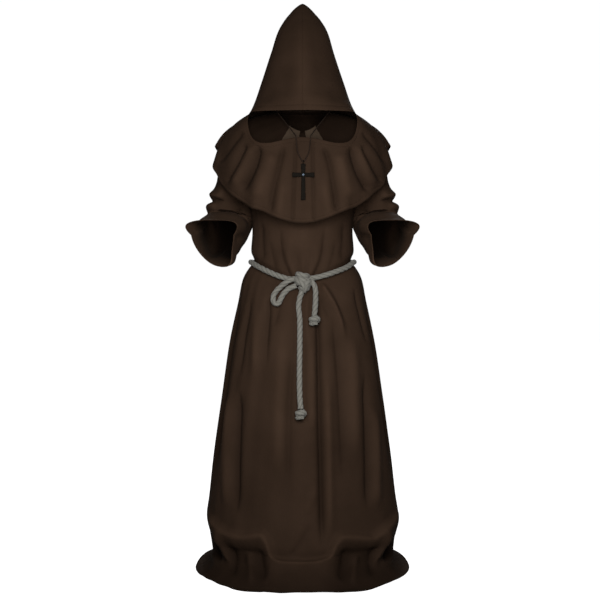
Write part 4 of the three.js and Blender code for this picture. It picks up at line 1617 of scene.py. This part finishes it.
@dataclass
class Cape:
    """The shoulder cape, a front and a back that hang from the neck ring.

    Attributes:
        per_station: Cells between two stations round the cape.
        rows: Cells from the neck to the hem.
        hem_band: Width of the turned hem.
        neck_band: The same at the open part of the neck.
        neck_dip: How far the neckline sinks beside the collar.
        front_shade: Painted shade over the front, which makes it darker than the back.
        middle_shade: Painted shade added in the front's middle.
        hem_shade: Painted shadow along the very edge of the hem.
        inner_tone: Painted shade on the inner side.
        fold_strength: Factor on what the folds push.
        front_folds: Folds of the front, over widths and heights.
        back_folds: The same on the back.
    """

    per_station: int = 13
    rows: int = 84
    hem_band: float = 14.0
    neck_band: float = 12.0
    neck_dip: float = 8.0
    front_shade: float = 0.04
    middle_shade: float = 0.13
    hem_shade: float = 0.4
    inner_tone: float = -0.5
    fold_strength: float = 1.5
    front_folds: tuple[Fold, ...] = (
        crease(((-21, 1436), (-27, 1300), (-33, 1172)), 6, -6, 0.04),
        crease(((32, 1436), (35, 1300), (38, 1172)), 6, -6, 0.04),
        crease(((-60, 1428), (-77, 1350), (-98, 1262), (-108, 1190)), 13, -9, 0.2),
        Fold(((-58, 1320), (-70, 1250), (-80, 1165)), 17, 5.5, ends=0.4),
        Fold(((-92, 1400), (-122, 1330), (-150, 1240)), 24, 6),
        crease(((-143, 1426), (-160, 1352), (-206, 1270)), 17, -12, 0.2),
        Fold(((-165, 1430), (-192, 1362), (-236, 1288)), 20, 6),
        crease(((-186, 1436), (-219, 1368), (-262, 1300)), 14, -9, 0.2),
        crease(((68, 1420), (88, 1362), (106, 1260), (118, 1195)), 13, -9, 0.2),
        Fold(((64, 1320), (77, 1250), (90, 1165)), 17, 5.5, ends=0.4),
        Fold(((112, 1400), (136, 1330), (162, 1240)), 24, 6),
        crease(((160, 1426), (183, 1342), (226, 1268)), 17, -12, 0.2),
        Fold(((178, 1430), (208, 1362), (250, 1290)), 20, 6),
        crease(((196, 1432), (234, 1362), (272, 1306)), 14, -9, 0.2),
        crease(((-196, 1480), (-240, 1432), (-288, 1376)), 16, -7),
        crease(((198, 1480), (242, 1432), (290, 1376)), 16, -7),
    )
    back_folds: tuple[Fold, ...] = (
        crease(((-20, 1500), (-34, 1380), (-46, 1205)), 22, -9),
        crease(((34, 1500), (48, 1380), (62, 1210)), 22, -9),
        crease(((-90, 1500), (-130, 1380), (-160, 1245)), 24, -10),
        crease(((96, 1500), (136, 1380), (166, 1250)), 24, -10),
        Fold(((-58, 1500), (-84, 1380), (-104, 1225)), 26, 7),
        Fold(((66, 1500), (92, 1380), (112, 1230)), 26, 7),
        Fold(((4, 1500), (6, 1380), (8, 1200)), 24, 6),
        *mirrored(crease(((150, 1500), (205, 1410), (236, 1330)), 22, -8)),
    )

    def surface(self) -> Surface:
        """Build the whole outer side with its folds."""
        count = 2 * (len(CAPE_STATIONS.rows) - 1)
        places = np.arange(count * self.per_station) / self.per_station
        ring, pull, hem = (
            smooth_rows(ring_of(CAPE_STATIONS.points(line)), places, closed=True)
            for line in ("ring_", "pull_", "hem_"))
        beside = bell(np.abs(ring[:, 0]) - 112, 45)
        dip = self.neck_dip * beside * smoothstep(-ring[:, 1], 130.0, 165.0)
        ring = ring - dip[:, None] * (0.0, 0.19, 1.0)
        t = np.linspace(0, 1, self.rows + 1)[:, None, None]
        grid = ring * (1 - t) ** 2 + pull * 2 * t * (1 - t) + hem * t * t
        x, y, z = np.moveaxis(grid, 2, 0)
        down = t[..., 0]
        front = smoothstep(-y, -10.0, 30.0)
        relief = front * relief_of(self.front_folds, x, z)
        relief = relief + smoothstep(y, 30.0, 90.0) * relief_of(self.back_folds, x, z)
        relief = relief * self.fold_strength
        around = np.broadcast_to(places * 360 / count, x.shape)
        flutes = Ripple(4.0, 60, 23, 0.05).relief(round_points(around, z))
        loose = smoothstep(down, 0.0, 0.35)
        from_hem = edge_distance(grid, False)
        middle = smoothstep(z, 1200.0, 1320.0) * bell(x, 70)
        # Painted shade and light on folds and flutes, painted shadow at the hem, shade on the front.
        tone = painted_crease_shading(relief, 18.0) + painted_crease_shading(flutes, 4.0, 0.1) * loose
        tone -= self.hem_shade * (1 - smoothstep(from_hem, 2.0, 7.0))
        tone -= front * (self.front_shade + self.middle_shade * middle)
        relief += (Ripple(1.0, 90, 21).relief(grid) + flutes * down) * loose
        relief *= smoothstep(down, 0.0, 0.12) * 0.7 + 0.3
        relief += hem_relief(from_hem, self.hem_band)
        free_neck = smoothstep(-y, 120.0, 150.0)
        relief += free_neck * hem_relief(edge_distance(grid, True), self.neck_band)
        grid += normals_of(grid, True) * relief[..., None]
        return Surface(grid, tone)

    def build(self, finishes: Finishes, sewer: Stitcher) -> list[Piece]:
        """Make both panels and the stitches of the hem and the neckline.

        Args:
            finishes: The materials.
            sewer: Sews the edges.

        Returns:
            The panels and the stitches.
        """
        cloth = self.surface()
        whole = cloth.grid.shape[1]
        seam = SHOULDER_SEAM * self.per_station
        neck_end = NECK_OPENING * self.per_station
        panels = (
            ("cape_front", np.arange(-seam, seam + 1) % whole, 0.42, 0.24, "robe_front"),
            ("cape_back", np.arange(seam, whole - seam + 1) % whole, 0.46, 0.25, "robe_back"),
        )
        pieces = []
        for name, columns, length, area, under in panels:
            piece = cloth.panel(name, columns, finishes.cloth, self.inner_tone)
            pieces.append(piece)
        neck = cloth.line(self.neck_band, True)[np.arange(-neck_end, neck_end + 1) % whole]
        pieces.append(sewer.sew("cape_hem_stitches", cloth.line(self.hem_band)))
        pieces.append(sewer.sew("cape_neck_stitches", neck, False))
        return pieces


@dataclass
class Hood:
    """The pointed hood, two halves with a seam from the brim over the tip to the nape.

    Attributes:
        per_station: Cells between two stations round the hood.
        row_steps: Cells down the cloth from the tip through HOOD_ROWS to the edge.
        brim_band: Width of the turned brim.
        side_painted_light: Painted light on the sides, which makes them lighter than the middle.
        tip_height: The height over which the tip is drawn out.
        inner_tone: Painted shade on the inner side.
        fold_strength: Factor on what the folds push.
        folds: Folds of the front, over widths and heights.
        back_folds: The same on the back.
    """

    per_station: int = 9
    row_steps: tuple[int, ...] = (14, 12, 12, 14, 14, 14, 14, 16)
    brim_band: float = 18.0
    side_painted_light: float = 0.06
    tip_height: float = 39.0
    inner_tone: float = -0.6
    fold_strength: float = 1.4
    folds: tuple[Fold, ...] = (
        Fold(((0, 1880), (0, 1780), (0, 1640), (0, 1560)), 30, 5),
        *mirrored(
            Fold(((50, 1740), (60, 1660), (84, 1590)), 34, -3, ends=0.4),
            Fold(((96, 1640), (112, 1600), (136, 1566)), 26, -3, ends=0.4),
        ),
        Fold(((-150, 1592), (0, 1604), (150, 1592)), 22, -2, ends=0.3),
    )
    back_folds: tuple[Fold, ...] = (
        crease(((-50, 1760), (-64, 1660), (-80, 1565)), 20, -7),
        crease(((50, 1750), (66, 1660), (84, 1565)), 20, -7),
        *mirrored(
            Fold(((24, 1700), (28, 1620), (30, 1560)), 16, 5),
            crease(((110, 1680), (128, 1620), (146, 1562)), 18, -6),
        ),
    )

    def surface(self) -> Surface:
        """Build the whole outer side with its folds."""
        angles = np.radians(STATION_ANGLES)
        ahead, across = np.cos(angles), np.sin(angles)
        rows = []
        for z, half, middle, front, back in HOOD_ROWS.rows:
            depth = np.where(ahead > 0, front, back)
            level = np.full(len(angles), z)
            side = np.stack([half * across, middle - depth * ahead, level], axis=1)
            rows.append(ring_of(side))
        edge = CAPE_STATIONS.points("ring_") + (0, 0, 0.4)
        edge[:len(BRIM.rows)] = BRIM.points()
        tip = np.tile(HOOD_TIP, (len(rows[0]), 1))
        coarse = np.stack([tip, *rows, ring_of(edge)])
        down = smooth_rows(coarse, steps_between(self.row_steps))
        count = coarse.shape[1]
        places = np.arange(count * self.per_station) / self.per_station
        grid = smooth_rows(down.transpose(1, 0, 2), places, closed=True).transpose(1, 0, 2)
        below_tip = np.clip((HOOD_TIP[2] - grid[..., 2]) / self.tip_height, 0.0, 1.0)
        grid[..., 2] += self.tip_height * (below_tip - below_tip ** 1.35)
        x, y, z = np.moveaxis(grid, 2, 0)
        relief = smoothstep(-y, -20.0, 30.0) * relief_of(self.folds, x, z)
        relief = relief + smoothstep(y, 20.0, 60.0) * relief_of(self.back_folds, x, z)
        relief = relief * self.fold_strength
        aside = np.abs(x) / (np.abs(x).max(axis=1, keepdims=True) + 1)
        # Painted shade and light on the folds, and painted light on the sides.
        tone = painted_crease_shading(relief, 16.0) + self.side_painted_light * smoothstep(aside, 0.3, 0.9)
        relief += Ripple(1.4, 120, 31).relief(grid) - 1.3 * bell(x, 2.4)
        relief *= smoothstep(z, 1540.0, 1560.0) * 0.8 + 0.2
        on_brim = smoothstep(-y, 100.0, 130.0)
        relief += on_brim * hem_relief(edge_distance(grid, False), self.brim_band)
        fade = smoothstep(HOOD_TIP[2] - z, 2.0, 30.0)
        grid += normals_of(grid, True) * (relief * fade)[..., None]
        return Surface(grid, tone)

    def build(self, finishes: Finishes, sewer: Stitcher) -> list[Piece]:
        """Make both halves and the stitches of the brim.

        Args:
            finishes: The materials.
            sewer: Sews the brim.

        Returns:
            The halves and the stitches.
        """
        cloth = self.surface()
        whole = cloth.grid.shape[1]
        half = whole // 2
        brim_end = BRIM_END * self.per_station
        brim = cloth.line(self.brim_band)[np.arange(-brim_end, brim_end + 1) % whole]
        cloth.normals[0] = (0, 0, 1)
        cloth.normals[:, [0, half], 0] = 0
        panels = (
            ("hood_left", np.arange(half + 1)),
            ("hood_right", np.arange(half, whole + 1) % whole),
        )
        pieces = []
        for name, columns in panels:
            piece = cloth.panel(name, columns, finishes.cloth, self.inner_tone)
            pieces.append(piece)
        pieces.append(sewer.sew("brim_stitches", brim, False))
        return pieces


@dataclass
class Collar:
    """The turned-down collar, one wing on each side of the open throat.

    Attributes:
        rows: Cells from the roll to the point.
        columns: Cells across a wing.
        length: How many rows of the robe's table a wing runs down.
        roll: Height of the roll above the robe.
        roll_share: The share of a wing's rows that the roll takes.
        wall: Thickness of the cloth.
    """

    rows: int = 40
    columns: int = 34
    length: float = 2.75
    roll: float = 4.0
    roll_share: float = 0.14
    wall: float = 1.6

    def build(self, finishes: Finishes) -> list[Piece]:
        """Make both wings.

        Args:
            finishes: The materials.

        Returns:
            The wings.
        """
        pieces = []
        for name, side in (("collar_left", 1), ("collar_right", -1)):
            grid = self.wing()
            if side < 0:
                grid = grid[:, ::-1] * (-1, 1, 1)
            piece = ClothWall(name + "_cloth", grid, wall=self.wall).build(finishes.collar)
            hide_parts(name)
            pieces.append(piece)
        return pieces

    def wing(self) -> Array:
        """Build one wing on the +X side, from the roll at the neckline down to its point."""
        down = np.linspace(0, 1, self.rows + 1)[:, None]
        across = np.linspace(0, 1, self.columns + 1)[None]
        inner = 5.5 + 0.5 * down
        angle = inner + (30 - 10 * down - inner) * across
        past_roll = np.clip((down - self.roll_share) / (1 - self.roll_share), 0, None)
        base = robe_points(angle, self.length * past_roll + 0 * across)
        out = base * (1.0, 1.2, 0.0) + (0, 0, 60.0)
        out /= np.linalg.norm(out, axis=2, keepdims=True)
        up = np.array([0.0, 0.0, 1.0])
        bend = np.clip(1 - down / self.roll_share, 0, 1) * math.pi * 0.75
        lift = self.roll + 3.0 * down ** 2
        swell = 1.2 * np.sin(across * math.pi) * down
        outward = out * ((lift + swell) * np.cos(bend))[..., None]
        return base + outward + up * (lift * np.sin(bend))[..., None]


@dataclass
class RopeBelt:
    """The rope belt: its turn round the waist, the knot, one loop and two free ends.

    Attributes:
        maker: Makes the rope.
        tuft: The tree of the loose fibres.
        rest: How far the rope's skin lies off the robe's plain form.
        lift_left: How far the rope rises towards the knot on the +X side.
        lift_right: The same on the -X side.
        lean_out: The share of that rise by which it also comes forward.
        start: Where the turn starts and ends, in degrees from the front.
        turns: Turns of the rope in an end knot.
        knot_reach: Largest distance of an end knot's rope from its axis.
        knot_fall: How far that rope winds down.
        knot_wave: How far it rises and falls with each turn.
        tuft_radius: Radius of the disc that the loose fibres hang from.
        tuft_drop: How far that disc lies below the knot's middle.
    """

    maker: RopeMaker
    tuft: Tree
    rest: float = 4.0
    lift_left: float = 12.5
    lift_right: float = 7.5
    lean_out: float = 0.35
    start: float = 7.5
    turns: float = 1.55
    knot_reach: float = 11.2
    knot_fall: float = 19.0
    knot_wave: float = 4.5
    tuft_radius: float = 10.5
    tuft_drop: float = 14.0

    def waist_line(self) -> list[Vector]:
        """Give the rope's route round the waist, from one side of the knot to the other."""
        angle = np.linspace(self.start, 360 - self.start, 181)
        ahead, aside = np.cos(np.radians(angle)), np.sin(np.radians(angle))
        place = np.full(angle.shape, BELT_ROW)
        row = ROBE_ROWS.at(place)
        depth = np.where(ahead > 0, row["front"], row["back"])
        out = np.stack([aside / row["half"], -ahead / depth, 0 * angle], axis=1)
        out /= np.linalg.norm(out, axis=1, keepdims=True)
        points = robe_points(angle, place) + out * (ROPE_DIAMETER / 2 + self.rest)
        lift = np.where(angle < 180, self.lift_left * smoothstep(ahead, 0.45, 0.98),
                        self.lift_right * smoothstep(ahead, 0.2, 0.9))
        points += lift[:, None] * (out * self.lean_out + (0.0, 0.0, 1.0))
        return in_frame(points)

    def end_knot_line(self, place: Point) -> list[Vector]:
        """Wind the end knot's rope about an upright axis through a place."""
        x, y, z = place
        t = np.linspace(0, 1, 61)
        angle = 2 * math.pi * self.turns * t + 0.6
        reach = self.knot_reach * np.sin(math.pi * (0.12 + 0.76 * t)) ** 0.5
        height = 11 - self.knot_fall * t + self.knot_wave * np.cos(angle + 0.8)
        line = [x + reach * np.cos(angle), y + reach * np.sin(angle), z + height]
        return in_frame(np.stack(line, axis=1))

    def end_tuft(self, name: str, place: Point) -> Piece:
        """Make the loose cut fibres under an end knot.

        Args:
            name: Name of the piece.
            place: Middle of the knot.

        Returns:
            The tuft.
        """
        x, y, z = place
        work = bmesh.new()
        bmesh.ops.create_circle(work, cap_ends=True, segments=24, radius=self.tuft_radius * MM)
        bmesh.ops.translate(work, verts=work.verts, vec=in_frame([(x, y, z - self.tuft_drop)])[0])
        mesh = bpy.data.meshes.new(name + "_disc")
        work.to_mesh(mesh)
        work.free()
        return run_tree(add_object(name + "_disc", mesh), self.tuft, {
            "Density": 700000.0, "Length": 21 * MM, "Radius": 0.75 * MM, "Spread": 0.22,
            "Seed": 4, "Finish": self.maker.finish,
        }, name)

    def build(self) -> list[Piece]:
        """Make every stretch of the rope.

        Returns:
            The belt's pieces.
        """
        wrap = self.maker.make("belt_wrap_rope", [self.waist_line()])
        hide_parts("belt_wrap")
        knot = self.maker.make("belt_knot_rope", [smooth_route(s, 8) for s in KNOT_STRANDS])
        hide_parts("belt_knot")
        pieces = [wrap, knot]
        ends = {}
        for name, place in (("long", LONG_END_KNOT), ("short", SHORT_END_KNOT)):
            end = self.maker.make(f"end_knot_{name}_rope", [self.end_knot_line(place)])
            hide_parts(f"end_knot_{name}")
            tuft = self.end_tuft(f"end_tuft_{name}", place)
            ends[name] = [end, tuft]
            pieces += [end, tuft]
        free = (
            ("belt_loop", LOOP_ROUTE, "object", []),
            ("belt_tail_long", LONG_TAIL_ROUTE, "knot", ends["long"]),
            ("belt_tail_short", SHORT_TAIL_ROUTE, "knot", ends["short"]),
        )
        for name, route, far_end, on_it in free:
            line = smooth_route(route, 8)
            rope = self.maker.make(name + "_rope", [line])
            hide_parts(name)
            pieces.append(rope)
        return pieces


@dataclass
class Pendant:
    """The cross and its neck cord; the ring and the stud are the solids themselves.

    Attributes:
        height: Height of the cross.
        span: Width across its arms.
        bar: Width of its bars at the crossing.
        flare: How much wider each bar's side stands at its end.
        thickness: Thickness of the cross.
        top: Height of its top above the floor.
        back: Where its back lies, along Y.
        middle: Where its middle lies, along X.
        arm_drop: How far its arms' middle lies below the top.
        rim: Width of the rim round its front.
        sink: How deep the field inside the rim lies.
        worn_edge: Width of its rounded edges.
    """

    height: float = 118.0
    span: float = 72.0
    bar: float = 12.0
    flare: float = 1.6
    thickness: float = 6.0
    top: float = 1358.0
    back: float = -219.3
    middle: float = 2.5
    arm_drop: float = 36.0
    rim: float = 2.0
    sink: float = 1.0
    worn_edge: float = 0.7

    def outline(self) -> list[tuple[float, float]]:
        """Give the cross's outline about its top middle, clockwise from the upper left."""
        half, wide, reach = self.bar / 2, self.bar / 2 + self.flare, self.span / 2
        upper, lower = -self.arm_drop + half, -self.arm_drop - half
        return [
            (-wide, 0), (wide, 0), (half, upper), (reach, upper + self.flare),
            (reach, lower - self.flare), (half, lower), (wide, -self.height),
            (-wide, -self.height), (-half, lower), (-reach, lower - self.flare),
            (-reach, upper + self.flare), (-half, upper),
        ]

    def cross(self, material: Material) -> Piece:
        """Make the cross with rounded edges and a sunken field inside a rim.

        Args:
            material: Its finish.

        Returns:
            The cross.
        """
        work = bmesh.new()
        outline = [(self.middle + x, self.back, self.top + z) for x, z in self.outline()]
        face = work.faces.new([work.verts.new(corner) for corner in in_frame(outline)])
        pushed = bmesh.ops.extrude_face_region(work, geom=[face])
        moved = [item for item in pushed["geom"] if isinstance(item, bmesh.types.BMVert)]
        bmesh.ops.translate(work, verts=moved, vec=(0, -self.thickness * MM, 0))
        front = [item for item in pushed["geom"] if isinstance(item, bmesh.types.BMFace)]
        bmesh.ops.inset_region(work, faces=front, thickness=self.rim * MM, depth=0)
        for item in front:
            bmesh.ops.translate(work, verts=item.verts, vec=(0, self.sink * MM, 0))
        bmesh.ops.recalc_face_normals(work, faces=work.faces)
        mesh = bpy.data.meshes.new("cross_metal")
        work.to_mesh(mesh)
        work.free()
        mesh.materials.append(material)
        piece = add_object("cross_metal", mesh)
        bevel = piece.modifiers.new("worn edges", "BEVEL")
        bevel.width = self.worn_edge * MM
        bevel.segments = 3
        bevel.limit_method = "ANGLE"
        return piece

    def build(self, finishes: Finishes, cord_tree: Tree) -> list[Piece]:
        """Make the cross and its cord.

        Args:
            finishes: The materials.
            cord_tree: The geometry tree of a rope.

        Returns:
            The pieces.
        """
        cross = self.cross(finishes.pendant)
        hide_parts("cross")
        back_side = [(2 * self.middle - x, y, z) for x, y, z in NECK_CORD_ROUTE[:0:-1]]
        line = smooth_route([*back_side, *NECK_CORD_ROUTE], 10)
        maker = RopeMaker(cord_tree, finishes.cord, NECK_CORD_DIAMETER, 2, 7.0, 0.5, 1.0, 12)
        cord = maker.make("neck_cord_twist", [line])
        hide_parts("neck_cord")
        return [cross, cord]


@dataclass
class Studio:
    """The camera at the picture's viewing angle, the pale floor and the soft lights.

    Attributes:
        camera_height: Above the floor.
        camera_distance: In front of the costume's middle.
        focal_pixels: Focal length in pixels of the frame.
        frame_pixels: Width of the frame.
        axis_pixel: Column at which the costume's middle stands.
        sensor: Width of the sensor.
        lights: Each light's name, place in metres, width in metres and power in watts.
    """

    camera_height: float = 914.0
    camera_distance: float = 4000.0
    focal_pixels: float = 1159.0
    frame_pixels: float = 600.0
    axis_pixel: float = 302.5
    sensor: float = 36.0
    lights: tuple[tuple[str, Point, float, float], ...] = (
        ("key", (0.0, -1.9, -0.22), 0.8, 24.5),
        ("fill", (0.0, -3.4, 0.9), 2.2, 21.0),
        ("back", (0.2, 3.0, 1.3), 1.6, 55.0),
    )

    def build(self) -> None:
        """Make the camera, the floor, the white surroundings and the lights."""
        bpy.context.scene.view_settings.view_transform = "Standard"
        self.camera()
        self.floor()
        self.world()
        for light in self.lights:
            self.light(*light)

    def camera(self) -> None:
        """Make the level camera."""
        data = bpy.data.cameras.new("camera")
        data.sensor_width = self.sensor
        data.lens = self.focal_pixels * self.sensor / self.frame_pixels
        data.shift_x = (self.frame_pixels / 2 - self.axis_pixel) / self.frame_pixels
        camera = add_object("camera", data)
        camera.location = in_frame([(0, -self.camera_distance, self.camera_height)])[0]
        camera.rotation_euler = (math.pi / 2, 0, 0)
        bpy.context.scene.camera = camera

    def floor(self) -> None:
        """Make the pale floor."""
        bpy.ops.mesh.primitive_plane_add(size=40, location=(0, 0, -HOLD_Z * MM))
        floor = bpy.context.object
        floor.name = "floor"
        material, nodes, shader = new_material("pale floor")
        path = nodes.node("ShaderNodeLightPath")
        nodes.wire(shader, {
            "Base Color": (0.5, 0.5, 0.5, 1),
            "Roughness": 0.9,
            "Emission Color": (1, 1, 1, 1),
            "Emission Strength": path.outputs["Is Camera Ray"],
        })
        floor.data.materials.append(material)

    def world(self) -> None:
        """Make the white surroundings: bright to the eye, softer as a light."""
        world = bpy.data.worlds.new("studio")
        world.use_nodes = True
        bpy.context.scene.world = world
        nodes = NodeTree(world.node_tree)
        path = nodes.node("ShaderNodeLightPath")
        strength = nodes.math("MULTIPLY_ADD", path.outputs["Is Camera Ray"], 0.96, 0.05)
        nodes.wire(world.node_tree.nodes["Background"], {
            "Color": (1, 1, 1, 1), "Strength": strength,
        })

    def light(self, name: str, place: Point, size: float, power: float) -> None:
        """Make one soft light that looks at the costume's middle.

        Args:
            name: Its name.
            place: Where it stands, in metres.
            size: Its width, in metres.
            power: In watts.
        """
        data = bpy.data.lights.new(name, "AREA")
        data.size = size
        data.energy = power
        lamp = add_object(name, data)
        lamp.location = place
        lamp.visible_camera = False
        aim = Vector((0, 0, -0.5)) - Vector(place)
        lamp.rotation_euler = aim.to_track_quat("-Z", "Y").to_euler()


@dataclass
class Costume:
    """The whole costume."""

    finishes: Finishes = field(default_factory=Finishes)

    def dress(self) -> list[Piece]:
        """Build every piece and let it ride on the costume's one body.

        Returns:
            All the pieces.
        """
        rope = rope_group()
        sewer = Stitcher(stitch_group(), self.finishes.thread)
        sleeves = [Sleeve("sleeve_left", 1), Sleeve("sleeve_right", -1)]
        pieces = RopeBelt(RopeMaker(rope, self.finishes.rope), tuft_group()).build()
        pieces += Pendant().build(self.finishes, rope)
        pieces += Robe().build(self.finishes, sewer, sleeves)
        for sleeve in sleeves:
            pieces += sleeve.build(self.finishes, sewer)
        pieces += Cape().build(self.finishes, sewer)
        pieces += Hood().build(self.finishes, sewer)
        pieces += Collar().build(self.finishes)
        for piece in pieces:
            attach(piece, "root")
            LOG.info("%s: %d faces", piece.name, len(piece.data.polygons))
        return pieces


def main() -> None:
    """Load the frame, build the scene and give the stud and the ring their finishes."""
    logging.basicConfig(level=logging.INFO, format="%(message)s")
    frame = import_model()
    Studio().build()
    costume = Costume()
    costume.dress()
    for node, finish in (("cross_stud", costume.finishes.stud),
                         ("cross_ring", costume.finishes.pendant)):
        for slot in frame["nodes"][node].material_slots:
            slot.material = finish


if __name__ == "__main__":
    main()
